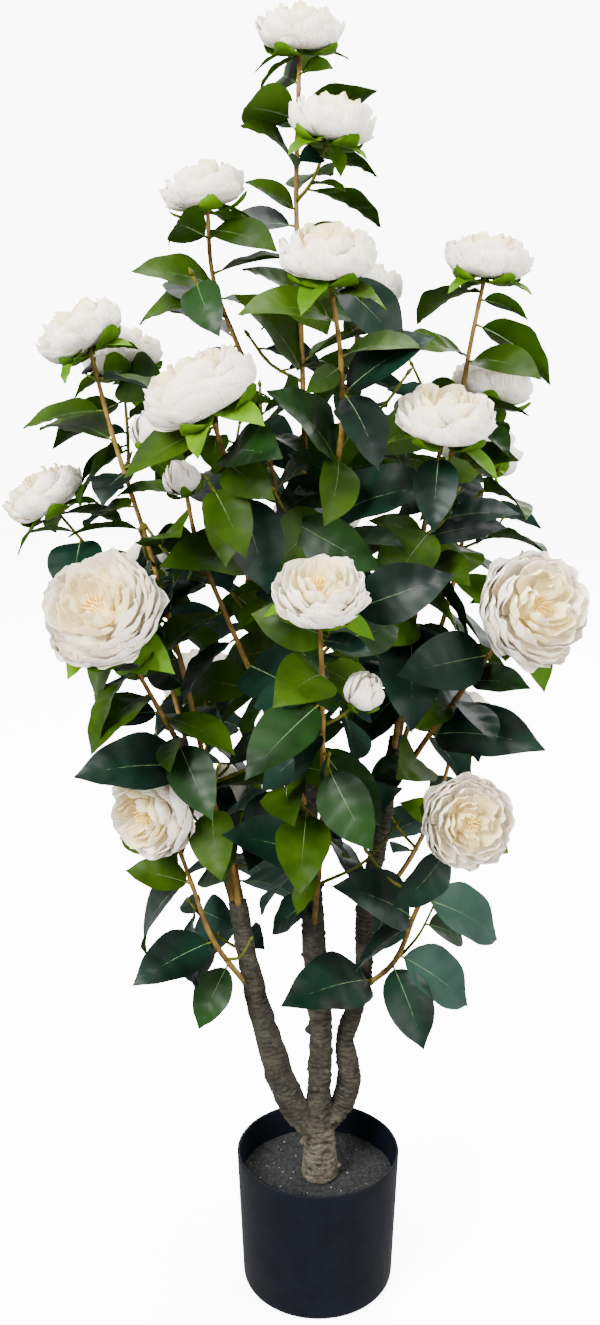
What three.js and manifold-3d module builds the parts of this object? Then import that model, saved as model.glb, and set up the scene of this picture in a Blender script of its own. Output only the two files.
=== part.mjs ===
// Artificial camellia tree, 1.2 m tall, standing in a plain black pot.
// Millimetres, +Z up. The origin is the centre of the pot's flat underside, and -Y is the tree's front.
// A short trunk forks into three bark-covered limbs. Thin stems leave the limbs, and each stem with its
// twigs, leaves and blooms is one spray. Every spray is one solid that stays clear of all the others.
import * as THREE from 'three';
import { mergeVertices } from 'three/addons/utils/BufferGeometryUtils.js';
import Module from 'manifold-3d';

const wasm = await Module();
wasm.setup();

// ---- Driving dimensions ----
const CLEARANCE = 0.3; // between two solids that seat on each other
const POT = { rimRadius: 81, baseRadius: 75.5, height: 145, wall: 2.6, floor: 4, corner: 9, sides: 32 };
const FILL_TOP = 115; // surface of the filling that holds the trunk
const LIMB = { sides: 10, stepsPerRow: 2 };
const STEM = { rootRadius: 3.3, tipRadius: 2.1, sides: 4, stepLength: 60 };
const TWIG = {
  rootRadius: 2.0,
  tipRadius: 1.4,
  sides: 3,
  steps: 2,
  pitch: 92, // spacing along a stem
  length: 88, // at most, getting shorter towards the end of the stem
  bareFoot: 20, // length without leaves
  footRise: 28, // angle above the horizon of the lower half and of the upper half
  tipRise: 52,
  slope: 0.9, // rise of a flower's twig for each millimetre out
  nearer: 0.2, // how much a short twig counts against the right slope
};
const LEAF = {
  lengthLow: 94, // length of a leaf at LOW_LEVEL, getting shorter towards the top
  lengthHigh: 68,
  spread: 0.16, // share by which lengths differ
  widthShare: 0.56,
  halfThick: 0.62,
  fold: 0.3, // rise of each half of the blade, in radians
  pitch: 28, // spacing along a stem or twig
  tries: 3, // ways round that a leaf is tried before it is left out
  testHalfThick: 1.5, // half thickness and stretch of the copy that tests for room
  testStretch: 1.04,
  outward: 0.8, // how far a face leans out from the trunk, against 1 for up
  riseLow: -18, // middle angle above the horizon at LOW_LEVEL and at TOP_LEVEL
  riseHigh: 16,
  riseSpread: 72,
  rollSpread: 1.2, // in radians
  footShare: 0.16, // share of the length that may touch the leaf's own spray
};
const BARE_FOOT = 34; // length of bare stem above its limb
const BARE_TIP = 6; // length of bare shoot below its end
const LOW_LEVEL = 380;
const TOP_LEVEL = 1180;
const THIN_BELOW = 620; // below this height more and more of the leaves are left out
const BARE_BELOW = 290;
const GOLDEN_ANGLE = 137.5;
const BLOOM = { neckShare: 0.23, lobes: 6 };
const BUD_LIMIT = 50; // a flower narrower than this is still a closed bud

// Limbs: points on the axis with the radius there, from the foot up.
const LIMBS = {
  trunk: [
    [2, 0, FILL_TOP + CLEARANCE, 18.5],
    [2, 0, 143, 16],
    [0, 0, 178, 16.5],
    [1, 0, 215, 12],
    [2, 0, 274, 11.5],
    [-4, 0, 364, 11.3],
    [-9, 2, 445, 10.6],
    [-13, 6, 545, 9],
    [-13, 10, 640, 7.5],
  ],
  bough_left: [
    [4, 0, 163, 13],
    [-20, -3, 189, 14.5],
    [-36, -6, 224, 13.8],
    [-45, -8, 260, 13],
    [-59, -10, 313, 11],
    [-69, -12, 367, 9.4],
    [-77, -14, 422, 8.9],
  ],
  bough_right: [
    [-2, 0, 166, 11],
    [22, 4, 190, 12.5],
    [31, 8, 222, 12],
    [27, 12, 262, 9.4],
    [44, 22, 319, 9],
    [46, 32, 389, 8.6],
    [60, 37, 465, 8],
    [75, 43, 566, 7],
  ],
};

// A flower: its middle, the compass angle and tilt from upright that it faces, and its width.
const flower = (x, y, z, compass, tilt, width) => ({ at: [x, y, z], compass, tilt, width });
// A leaf with a place of its own: the share of the stem's length where it grows, and its tip.
const leaf = (share, x, y, z) => ({ share, tip: [x, y, z] });

// Sprays: the limb, the point inside it where the stem is let in, the points that the stem passes, the
// end flower and then those on side twigs, the leaves that lie open at the front of the tree, and the
// compass angle of the first of all the others.
const SPRAYS = [
  {
    name: 'top',
    limb: 'trunk',
    seat: [-13, 14, 632],
    via: [[-12, 14, 720], [-14, 6, 840], [-17, 0, 945], [-21, -5, 1040], [-20, -4, 1110]],
    flowers: [flower(-18, 0, 1187, -90, 6, 72), flower(8, -50, 1112, 10, 10, 72)],
    leaves: [leaf(0.82, -66, -54, 1104), leaf(0.76, -64, -22, 1064), leaf(0.51, -72, -42, 975)],
    firstLeaf: 200,
  },
  {
    name: 'upper_left',
    limb: 'trunk',
    seat: [-17, 8, 632],
    via: [[-28, 12, 730], [-44, 6, 830], [-64, -4, 912], [-90, -14, 984]],
    flowers: [flower(-98, -20, 1063, 170, 12, 72)],
    leaves: [leaf(0.84, -158, -30, 993), leaf(0.95, -36, -58, 1008)],
    firstLeaf: 120,
  },
  {
    name: 'centre',
    limb: 'trunk',
    seat: [-9, 7.5, 632],
    via: [[-4, -22, 715], [5, -52, 795], [16, -80, 866], [14, -98, 930]],
    flowers: [flower(4, -110, 1010, -90, 10, 80)],
    leaves: [leaf(0.43, 100, -88, 822), leaf(0.74, 88, -110, 943), leaf(0.58, -45, -112, 902)],
    firstLeaf: 30,
  },
  {
    name: 'inner_left',
    limb: 'trunk',
    seat: [-13, 4, 590],
    via: [[-26, -26, 650], [-42, -48, 725], [-64, -74, 797], [-82, -98, 858]],
    flowers: [flower(-99, -120, 909, 185, 28, 98)],
    leaves: [leaf(0.75, -44, -108, 737), leaf(0.52, -132, -118, 762)],
    firstLeaf: 250,
  },
  {
    name: 'low_left',
    limb: 'trunk',
    seat: [-10, 2, 505],
    via: [[-36, -28, 575], [-60, -48, 650], [-84, -64, 715], [-104, -70, 770]],
    flowers: [flower(-116, -74, 828, 180, 20, 34)],
    leaves: [],
    firstLeaf: 210,
  },
  {
    name: 'front',
    limb: 'trunk',
    seat: [-5, -1, 384],
    via: [[-2, -38, 446], [1, -76, 505], [1, -118, 590], [0, -158, 668]],
    flowers: [flower(-3, -200, 762, -88, 28, 74), flower(34, -152, 668, -60, 30, 36)],
    leaves: [
      leaf(0.28, -86, -100, 522), leaf(0.37, 71, -95, 563), leaf(0.66, -50, -124, 571),
      leaf(0.78, -57, -124, 645), leaf(0.56, 36, -124, 544),
    ],
    firstLeaf: 300,
  },
  {
    name: 'left_tall',
    limb: 'bough_left',
    seat: [-80, -11, 414],
    via: [[-88, -16, 470], [-106, -34, 574], [-122, -48, 662], [-146, -55, 763], [-174, -42, 852]],
    flowers: [
      flower(-206, -20, 948, 175, 32, 78),
      flower(-180, 60, 925, 110, 22, 76),
      flower(-144, -62, 866, 200, 12, 34),
      flower(-240, -30, 812, 180, 30, 74),
    ],
    leaves: [],
    firstLeaf: 150,
  },
  {
    name: 'left_front',
    limb: 'bough_left',
    seat: [-75, -19, 414],
    via: [[-84, -30, 476], [-104, -54, 552], [-134, -86, 622]],
    flowers: [flower(-180, -140, 733, -110, 52, 102)],
    leaves: [leaf(0.49, -214, -90, 571), leaf(0.33, -85, -78, 470)],
    firstLeaf: 90,
  },
  {
    name: 'left_low',
    limb: 'bough_left',
    seat: [-62, -11, 322],
    via: [[-98, -26, 382], [-117, -36, 444]],
    flowers: [flower(-154, -62, 526, -130, 98, 90)],
    leaves: [leaf(0.33, -171, -75, 364), leaf(0.2, -114, -44, 302), leaf(0.62, -180, -30, 458)],
    firstLeaf: 240,
  },
  {
    name: 'right_tall',
    limb: 'bough_right',
    seat: [77, 48, 558],
    via: [[86, 36, 665], [100, 22, 758], [116, 12, 835], [129, 14, 925]],
    flowers: [flower(144, 20, 1008, 10, 8, 76), flower(156, 44, 900, 40, 14, 74)],
    leaves: [leaf(0.62, 170, -30, 837), leaf(0.83, 186, -30, 905)],
    firstLeaf: 20,
  },
  {
    name: 'right_inner',
    limb: 'bough_right',
    seat: [72, 36, 556],
    via: [[80, 8, 660], [86, -20, 745], [92, -50, 808]],
    flowers: [flower(101, -90, 884, -60, 12, 84)],
    leaves: [leaf(0.41, 79, -70, 605), leaf(0.57, 124, -90, 740), leaf(0.66, 159, -50, 782)],
    firstLeaf: 320,
  },
  {
    name: 'right_bloom',
    limb: 'bough_right',
    seat: [66, 39, 505],
    via: [[100, -4, 580], [122, -32, 625], [148, -44, 668]],
    flowers: [flower(184, -70, 717, -66, 68, 102)],
    leaves: [leaf(0.38, 200, -56, 584), leaf(0.68, 182, -70, 645)],
    firstLeaf: 0,
  },
  {
    name: 'right_low',
    limb: 'bough_right',
    seat: [44, 22, 310],
    via: [[72, -22, 362], [88, -50, 425], [106, -70, 482]],
    flowers: [flower(128, -102, 534, -78, 74, 84)],
    leaves: [
      leaf(0.09, -36, -62, 336), leaf(0.26, 98, -60, 290), leaf(0.32, 146, 2, 302),
      leaf(0.52, 10, -92, 470), leaf(0.63, 169, -20, 383),
    ],
    firstLeaf: 340,
  },
  {
    name: 'back_top',
    limb: 'trunk',
    seat: [-14, 9, 600],
    via: [[4, 44, 690], [20, 66, 790], [30, 78, 880]],
    flowers: [flower(38, 84, 985, 60, 16, 78)],
    leaves: [],
    firstLeaf: 60,
  },
  {
    name: 'back_high_left',
    limb: 'trunk',
    seat: [-13, 8, 572],
    via: [[-44, 52, 640], [-74, 84, 735], [-92, 98, 815]],
    flowers: [flower(-104, 112, 900, 130, 26, 82)],
    leaves: [],
    firstLeaf: 100,
  },
  {
    name: 'back_middle',
    limb: 'trunk',
    seat: [-8, 2, 420],
    via: [[-2, 54, 500], [2, 104, 585], [0, 142, 670]],
    flowers: [flower(-6, 188, 752, 95, 40, 96), flower(50, 150, 640, 60, 55, 84)],
    leaves: [],
    firstLeaf: 45,
  },
  {
    name: 'back_left',
    limb: 'bough_left',
    seat: [-78, -12, 404],
    via: [[-104, 34, 470], [-130, 74, 550], [-150, 98, 625]],
    flowers: [flower(-176, 124, 712, 140, 42, 92), flower(-120, 150, 590, 110, 60, 82)],
    leaves: [],
    firstLeaf: 130,
  },
  {
    name: 'back_right',
    limb: 'bough_right',
    seat: [72, 44, 530],
    via: [[104, 84, 612], [130, 112, 690], [142, 120, 750]],
    flowers: [flower(156, 134, 832, 50, 30, 86)],
    leaves: [],
    firstLeaf: 10,
  },
  {
    name: 'back_low_left',
    limb: 'bough_left',
    seat: [-52, -9, 286],
    via: [[-66, 42, 345], [-82, 82, 410]],
    flowers: [flower(-92, 118, 478, 120, 62, 82)],
    leaves: [],
    firstLeaf: 110,
  },
  {
    name: 'back_low_right',
    limb: 'bough_right',
    seat: [46, 31, 380],
    via: [[92, 62, 432], [122, 88, 490]],
    flowers: [flower(150, 116, 560, 45, 58, 84)],
    leaves: [],
    firstLeaf: 70,
  },
];

// ---- Small helpers ----
const radians = THREE.MathUtils.degToRad;
const mix = THREE.MathUtils.lerp;
const vector = ([x, y, z]) => new THREE.Vector3(x, y, z);
const UP = new THREE.Vector3(0, 0, 1);
const FRONT = new THREE.Vector3(0, -1, 0);

// A number from 0 to 1 that depends only on the spray, the leaf and what it is drawn for.
function chance(spray, leaf, draw) {
  const wave = Math.sin(spray * 12.9898 + leaf * 78.233 + draw * 37.719) * 43758.5453;
  return wave - Math.floor(wave);
}

// The unit vector at a compass angle (0 is +X, 90 is +Y) and an angle above the horizon.
function heading(compass, rise) {
  const a = radians(compass);
  const e = radians(rise);
  return new THREE.Vector3(Math.cos(a) * Math.cos(e), Math.sin(a) * Math.cos(e), Math.sin(e));
}

// A three.js geometry as a solid that can be joined and cut.
function solidOf(geometry) {
  const bare = geometry.index ? geometry.toNonIndexed() : geometry.clone();
  bare.deleteAttribute('normal');
  bare.deleteAttribute('uv');
  const merged = mergeVertices(bare, 1e-3);
  return new wasm.Manifold(new wasm.Mesh({
    numProp: 3,
    vertProperties: merged.attributes.position.array,
    triVerts: new Uint32Array(merged.index.array),
  }));
}

// A solid back as a flat-shaded three.js geometry.
function geometryOf(solid) {
  const mesh = solid.getMesh();
  const geometry = new THREE.BufferGeometry();
  geometry.setAttribute('position', new THREE.BufferAttribute(mesh.vertProperties, 3));
  geometry.setIndex(new THREE.BufferAttribute(mesh.triVerts, 1));
  return geometry.toNonIndexed();
}

// A curve that passes evenly through the points.
const curveThrough = (points) => new THREE.CatmullRomCurve3(points, false, 'catmullrom', 0.5);

// The point at a distance along a line of points.
function pointAlong(line, distance) {
  let rest = distance;
  for (let i = 1; i < line.length; i++) {
    const step = line[i].distanceTo(line[i - 1]);
    if (rest <= step || i === line.length - 1) return line[i - 1].clone().lerp(line[i], rest / step);
    rest -= step;
  }
}
const lengthOf = (line) => line.slice(1).reduce((sum, point, i) => sum + point.distanceTo(line[i]), 0);

// A closed round bar along a curve. Its radius is a function of the share of the way along.
function bar(curve, radiusAt, sides, steps) {
  const geometry = new THREE.CylinderGeometry(1, 1, 1, sides, steps);
  const place = geometry.attributes.position;
  const reference = new THREE.Vector3(0.31, 0.95, 0.05);
  for (let i = 0; i < place.count; i++) {
    const share = place.getY(i) + 0.5;
    const along = curve.getTangent(share);
    const side = along.clone().cross(reference).normalize();
    const front = side.clone().cross(along);
    const radius = radiusAt(share);
    const point = curve.getPoint(share)
      .addScaledVector(side, place.getX(i) * radius)
      .addScaledVector(front, place.getZ(i) * radius);
    place.setXYZ(i, point.x, point.y, point.z);
  }
  return geometry;
}

// ---- Pot and filling ----
// Outer radius of the pot's wall at a height.
const potRadius = (height) => mix(POT.baseRadius, POT.rimRadius, height / POT.height);

function potGeometry() {
  const { corner, floor, height, wall } = POT;
  const outline = new THREE.Path();
  outline.moveTo(0, 0);
  outline.lineTo(potRadius(0) - corner, 0);
  outline.quadraticCurveTo(potRadius(0), 0, potRadius(corner), corner);
  outline.lineTo(potRadius(height - wall / 2), height - wall / 2);
  outline.quadraticCurveTo(potRadius(height), height, potRadius(height) - wall / 2, height);
  outline.quadraticCurveTo(potRadius(height) - wall, height, potRadius(height) - wall, height - wall / 2);
  outline.lineTo(potRadius(floor) - wall, floor);
  outline.lineTo(0, floor);
  return new THREE.LatheGeometry(outline.getPoints(2), POT.sides);
}

function fillGeometry() {
  const gap = POT.wall + CLEARANCE;
  const outline = [
    new THREE.Vector2(0, POT.floor),
    new THREE.Vector2(potRadius(POT.floor) - gap, POT.floor),
    new THREE.Vector2(potRadius(FILL_TOP) - gap, FILL_TOP),
    new THREE.Vector2(0, FILL_TOP),
  ];
  return new THREE.LatheGeometry(outline, POT.sides);
}

// A turned shape stands on its Y axis, so it is stood up on Z.
const stoodUp = (geometry) => geometry.rotateX(Math.PI / 2);

// ---- Limbs ----
// The limb as a bar, grown by a margin all round for cutting what seats on it.
function limbSolid(name, margin = 0) {
  const rows = LIMBS[name];
  const points = rows.map((row) => vector(row));
  const curve = curveThrough(points);
  const radiusAt = (share) => {
    const place = share * (rows.length - 1);
    const row = Math.min(Math.floor(place), rows.length - 2);
    return mix(rows[row][3], rows[row + 1][3], place - row) + margin;
  };
  const last = rows.length - 1;
  const lift = points[last].clone().sub(points[last - 1]).setLength(margin);
  const body = solidOf(bar(curve, radiusAt, LIMB.sides, last * LIMB.stepsPerRow));
  return margin ? body.add(body.translate(lift.toArray())) : body;
}

// ---- Leaves ----
// The point of a leaf at a share of its length and of its half width. The blade leaves its base along
// `dir`, bends down through `droop` radians, and each half rises by the fold.
function leafPoint(leaf, share, across, half) {
  const { base, dir, face, length, droop } = leaf;
  const turn = droop * share;
  const forward = Math.sin(turn) / droop * length;
  const down = (1 - Math.cos(turn)) / droop * length;
  const side = dir.clone().cross(face);
  const normal = face.clone().multiplyScalar(Math.cos(turn)).addScaledVector(dir, Math.sin(turn));
  const reach = across * half * leaf.width / 2;
  return base.clone()
    .addScaledVector(dir, forward)
    .addScaledVector(face, -down)
    .addScaledVector(side, reach * Math.cos(LEAF.fold))
    .addScaledVector(normal, Math.abs(reach) * Math.sin(LEAF.fold));
}

// A leaf of twelve faces: a sharp outline of six points round a thick middle.
function leafSolid(leaf, halfThick) {
  const OUTLINE = [[0, 0], [0.34, 1], [0.7, 0.82], [1, 0], [0.7, -0.82], [0.34, -1]];
  const MIDDLE = 0.5;
  const rim = OUTLINE.map(([share, across]) => leafPoint(leaf, share, across, 1));
  const middle = leafPoint(leaf, MIDDLE, 0, 1);
  const turn = leaf.droop * MIDDLE;
  const normal = leaf.face.clone().multiplyScalar(Math.cos(turn)).addScaledVector(leaf.dir, Math.sin(turn));
  const points = [
    ...rim,
    middle.clone().addScaledVector(normal, halfThick),
    middle.clone().addScaledVector(normal, -halfThick),
  ];
  const [top, bottom] = [rim.length, rim.length + 1];
  const faces = rim.flatMap((_, i) => {
    const next = (i + 1) % rim.length;
    return [top, i, next, bottom, next, i];
  });
  const geometry = new THREE.BufferGeometry().setFromPoints(points);
  geometry.setIndex(faces);
  return solidOf(geometry);
}

// The same leaf a little larger and thicker, to find whether there is room for it.
const leafRoom = (leaf) => leafSolid(
  { ...leaf, length: leaf.length * LEAF.testStretch, width: leaf.width * LEAF.testStretch },
  LEAF.testHalfThick,
);

// The upper face of a leaf looks up and to the side that `out` gives, square to `dir`, rolled by `roll`.
function leafFace(out, dir, roll) {
  const face = out.setLength(LEAF.outward).add(UP);
  return face.addScaledVector(dir, -face.dot(dir)).normalize().applyAxisAngle(dir, roll);
}

// The leaf that grows from `base` and ends at `tip`, with its upper face open to the front.
function leafTo(base, tip, droop) {
  const chord = tip.clone().sub(base);
  const dir = chord.clone().normalize();
  const face = leafFace(FRONT.clone(), dir, 0);
  const half = droop / 2;
  const length = chord.length() * half / Math.sin(half);
  return {
    base,
    dir: dir.clone().multiplyScalar(Math.cos(half)).addScaledVector(face, Math.sin(half)),
    face: face.clone().multiplyScalar(Math.cos(half)).addScaledVector(dir, -Math.sin(half)),
    length,
    width: length * LEAF.widthShare,
    droop,
  };
}

// ---- Flowers ----
const facing = (bloom) => heading(bloom.compass, 90 - bloom.tilt);
const neckOf = (bloom) => vector(bloom.at).addScaledVector(facing(bloom), -bloom.width * BLOOM.neckShare);

// An open bloom: a shallow cushion with a lobed rim. A bud: a closed egg.
function flowerGeometry(bloom) {
  const radius = bloom.width / 2;
  const open = bloom.width > BUD_LIMIT;
  const outline = open
    ? [[0, -0.5], [0.6, -0.42], [1, 0], [0.74, 0.34], [0, 0.44]]
    : [[0, -0.9], [0.72, -0.6], [0.86, 0.35], [0, 0.95]];
  const points = outline.map(([out, up]) => new THREE.Vector2(out * radius, up * radius));
  const geometry = new THREE.LatheGeometry(points, open ? 2 * BLOOM.lobes : BLOOM.lobes);
  const place = geometry.attributes.position;
  for (let i = 0; open && i < place.count; i++) {
    const out = Math.hypot(place.getX(i), place.getZ(i));
    const angle = Math.atan2(place.getX(i), place.getZ(i));
    const lobe = 0.06 * Math.cos(BLOOM.lobes * angle) * out / radius;
    place.setXYZ(i, place.getX(i) * (1 + lobe), place.getY(i) + lobe * radius, place.getZ(i) * (1 + lobe));
  }
  const turn = new THREE.Quaternion().setFromUnitVectors(new THREE.Vector3(0, 1, 0), facing(bloom));
  return geometry.applyQuaternion(turn).translate(...bloom.at);
}

// ---- Stems and twigs ----
// A round shoot: its solid, and the line of points along its middle that leaves and twigs grow from.
function shoot(points, { rootRadius, tipRadius, sides }, steps) {
  const curve = curveThrough(points);
  const rings = steps ?? Math.round(curve.getLength() / STEM.stepLength) + 1;
  const solid = solidOf(bar(curve, (share) => mix(rootRadius, tipRadius, share), sides, rings));
  const line = curve.getPoints(rings);
  return { solid, line, length: lengthOf(line) };
}

const stemOf = (spray) => shoot([...[spray.seat, ...spray.via].map(vector), neckOf(spray.flowers[0])], STEM);

// The twig to a side flower leaves the stem where it can rise to the flower at TWIG.slope, and it
// comes up under the flower.
function flowerTwig(stem, bloom) {
  const STATIONS = 40;
  const neck = neckOf(bloom);
  const step = stem.length / STATIONS;
  const feet = Array.from({ length: STATIONS + 1 }, (_, i) => pointAlong(stem.line, i * step));
  const miss = (foot) => {
    const away = Math.hypot(foot.x - neck.x, foot.y - neck.y);
    return Math.abs(neck.z - foot.z - TWIG.slope * away) + TWIG.nearer * away;
  };
  const foot = feet.reduce((best, point) => (miss(point) < miss(best) ? point : best));
  const under = neck.clone().addScaledVector(facing(bloom), -0.3 * foot.distanceTo(neck));
  return shoot([foot, foot.clone().lerp(under, 0.6), neck], TWIG, TWIG.steps);
}

// A leafy side twig: it leaves the stem round it by the golden angle and turns up towards its tip.
function leafyTwig(stem, spray, sprayNumber, number) {
  const place = BARE_FOOT + (number + 0.6 * chance(sprayNumber, number, 21)) * TWIG.pitch;
  const foot = pointAlong(stem.line, place);
  const compass = spray.firstLeaf + 60 + number * GOLDEN_ANGLE;
  const shorter = 1 - 0.35 * place / stem.length;
  const reach = TWIG.length * shorter * (0.8 + 0.4 * chance(sprayNumber, number, 22));
  const middle = foot.clone().addScaledVector(heading(compass, TWIG.footRise), 0.5 * reach);
  const tip = middle.clone().addScaledVector(heading(compass, TWIG.tipRise), 0.5 * reach);
  return shoot([foot, middle, tip], TWIG, TWIG.steps);
}

// The places along a shoot where a leaf may grow.
function leafPlaces({ line, length }, bareFoot) {
  const count = Math.max(Math.floor((length - bareFoot - BARE_TIP) / LEAF.pitch) + 1, 0);
  return Array.from({ length: count }, (_, i) => pointAlong(line, bareFoot + i * LEAF.pitch));
}

// A leaf at its place on a spray, turned further round at each new try.
function leafAt(base, spray, sprayNumber, number, attempt) {
  const draw = (n) => chance(sprayNumber, number, n + 10 * attempt);
  const level = THREE.MathUtils.clamp((base.z - LOW_LEVEL) / (TOP_LEVEL - LOW_LEVEL), 0, 1);
  const compass = spray.firstLeaf + number * GOLDEN_ANGLE + 40 * (draw(2) - 0.5) + 120 * attempt;
  const dir = heading(compass, mix(LEAF.riseLow, LEAF.riseHigh, level) + LEAF.riseSpread * (draw(3) - 0.5));
  const length = mix(LEAF.lengthLow, LEAF.lengthHigh, level) * (1 + LEAF.spread * (2 * draw(4) - 1));
  return {
    base,
    dir,
    face: leafFace(new THREE.Vector3(base.x, base.y, 0), dir, LEAF.rollSpread * (draw(5) - 0.5)),
    length,
    width: length * LEAF.widthShare * (0.92 + 0.16 * draw(6)),
    droop: 0.35 + 0.7 * draw(7),
  };
}

// ---- Growing the sprays ----
const boxesMeet = (a, b) => [0, 1, 2].every((k) => a.min[k] < b.max[k] && b.min[k] < a.max[k]);
const boxed = (owner, solid) => ({ owner, solid, box: solid.boundingBox() });
const touches = (solid, others) => {
  const box = solid.boundingBox();
  return others.some((other) => boxesMeet(box, other.box) && !solid.intersect(other.solid).isEmpty());
};
const largestPart = (solid) => solid.decompose().reduce((a, b) => (b.volume() > a.volume() ? b : a));

function growSprays(limbs) {
  const taken = Object.entries(limbs).map(([name, solid]) => boxed(name, solid));
  const claim = (owner, solid) => taken.push(boxed(owner, solid));
  const others = (owner) => taken.filter((piece) => piece.owner !== owner);
  const own = (owner) => taken.filter((piece) => piece.owner === owner);

  // Stems, the flowers and the twigs that carry them come first.
  const grown = SPRAYS.map((spray, number) => {
    const stem = stemOf(spray);
    const twigs = spray.flowers.slice(1).map((bloom) => flowerTwig(stem, bloom));
    [stem, ...twigs].forEach(({ solid }) => claim(spray.name, solid));
    spray.flowers.forEach((bloom) => claim(spray.name, solidOf(flowerGeometry(bloom))));
    return { spray, number, stem, twigs };
  });

  // A leaf is grown where the space beyond its foot is free.
  const grow = (owner, leaf) => {
    const base = leafPoint(leaf, LEAF.footShare, 0, 1);
    const beyondFoot = { ...leaf, base, length: leaf.length * (1 - LEAF.footShare) };
    if (touches(leafRoom(leaf), others(owner)) || touches(leafRoom(beyondFoot), own(owner))) return false;
    claim(owner, leafSolid(leaf, LEAF.halfThick));
    return true;
  };
  for (const { spray, number, stem } of grown) {
    spray.leaves.forEach(({ share, tip }, i) => {
      const base = pointAlong(stem.line, share * stem.length);
      grow(spray.name, leafTo(base, vector(tip), 0.5 + 0.4 * chance(number, i, 8)));
    });
  }

  // Then come the leafy twigs, and then the leaves, dealt out in turn so that all sprays share the room.
  for (const { spray, number, stem, twigs } of grown) {
    const count = Math.floor((stem.length - BARE_FOOT) / TWIG.pitch);
    for (let i = 0; i < count; i++) {
      const twig = leafyTwig(stem, spray, number, i);
      if (touches(twig.solid, others(spray.name))) continue;
      twigs.push(twig);
      claim(spray.name, twig.solid);
    }
  }
  const plans = grown.map(({ spray, number, stem, twigs }) => ({
    spray,
    number,
    places: [...leafPlaces(stem, BARE_FOOT), ...twigs.flatMap((twig) => leafPlaces(twig, TWIG.bareFoot))],
  }));
  const rounds = Math.max(...plans.map(({ places }) => places.length));
  for (let i = 0; i < rounds; i++) {
    for (const { spray, number, places } of plans.filter(({ places }) => i < places.length)) {
      const base = places[i];
      const kept = (base.z - BARE_BELOW) / (THIN_BELOW - BARE_BELOW);
      if (chance(number, i, 0) > kept) continue;
      for (let attempt = 0; attempt < LEAF.tries; attempt++) {
        if (grow(spray.name, leafAt(base, spray, number, i, attempt))) break;
      }
    }
  }

  // Each spray is joined up, and cut clear of the limbs it is let into.
  const clearLimbs = Object.keys(LIMBS).map((name) => limbSolid(name, CLEARANCE));
  return Object.fromEntries(SPRAYS.map(({ name }) => {
    const whole = wasm.Manifold.union(own(name).map(({ solid }) => solid));
    return [name, largestPart(clearLimbs.reduce((solid, limb) => solid.subtract(limb), whole))];
  }));
}

// ---- Assembly ----
const finish = (color, roughness) => (
  new THREE.MeshStandardMaterial({ color, roughness, metalness: 0, flatShading: true })
);
const FINISHES = {
  pot: finish('#1d2027', 0.5),
  filling: finish('#33322f', 0.95),
  bark: finish('#7d7160', 0.9),
  foliage: finish('#2f5a24', 0.45),
};

function named(name, geometry, material) {
  const mesh = new THREE.Mesh(geometry, material);
  mesh.name = name;
  return mesh;
}

const tree = new THREE.Group();
tree.name = 'camellia_tree';
tree.add(named('pot', stoodUp(potGeometry()), FINISHES.pot));
tree.add(named('filling', stoodUp(fillGeometry()), FINISHES.filling));

// Each bough is cut clear of the trunk, and each limb carries its sprays in a group of its own.
const limbs = {
  trunk: limbSolid('trunk'),
  bough_left: limbSolid('bough_left').subtract(limbSolid('trunk', CLEARANCE)),
  bough_right: limbSolid('bough_right')
    .subtract(limbSolid('trunk', CLEARANCE))
    .subtract(limbSolid('bough_left', CLEARANCE)),
};
const sprays = growSprays(limbs);
for (const [limb, solid] of Object.entries(limbs)) {
  const group = new THREE.Group();
  group.add(named(limb, geometryOf(solid), FINISHES.bark));
  SPRAYS.filter((spray) => spray.limb === limb).forEach(({ name }) => {
    group.add(named(`spray_${name}`, geometryOf(sprays[name]), FINISHES.foliage));
  });
  tree.add(group);
}

export default tree;
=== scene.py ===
"""Looks of an artificial camellia tree, 1.2 m tall, in a plain black pot.

The sprays grow here by the same rule as the solids do, in millimetres, and each leaf is kept where the
solid has it too. Smaller leaves then fill in between. Everything else is worked out from the same tables.
"""

import math

import bpy
import numpy as np
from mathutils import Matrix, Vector
from mathutils.bvhtree import BVHTree


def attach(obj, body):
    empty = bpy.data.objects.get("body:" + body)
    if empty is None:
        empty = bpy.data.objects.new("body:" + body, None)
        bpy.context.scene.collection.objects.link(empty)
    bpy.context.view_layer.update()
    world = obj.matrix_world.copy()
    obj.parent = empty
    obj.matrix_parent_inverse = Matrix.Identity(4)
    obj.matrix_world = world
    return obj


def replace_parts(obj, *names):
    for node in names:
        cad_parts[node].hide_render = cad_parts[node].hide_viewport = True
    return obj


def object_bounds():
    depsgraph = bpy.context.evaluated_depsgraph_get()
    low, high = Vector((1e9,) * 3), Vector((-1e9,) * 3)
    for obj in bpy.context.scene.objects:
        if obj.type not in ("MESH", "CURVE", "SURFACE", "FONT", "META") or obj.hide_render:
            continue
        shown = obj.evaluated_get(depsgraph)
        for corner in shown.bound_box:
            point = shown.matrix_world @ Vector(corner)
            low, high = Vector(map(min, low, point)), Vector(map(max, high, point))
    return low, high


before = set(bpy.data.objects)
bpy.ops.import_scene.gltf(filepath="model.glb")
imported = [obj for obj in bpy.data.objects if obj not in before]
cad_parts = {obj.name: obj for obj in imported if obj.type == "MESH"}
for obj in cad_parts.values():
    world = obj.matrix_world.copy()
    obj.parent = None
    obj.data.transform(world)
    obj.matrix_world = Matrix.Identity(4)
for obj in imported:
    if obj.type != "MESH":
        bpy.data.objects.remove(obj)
low_at_start, high_at_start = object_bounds()

MM = 0.001

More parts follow.
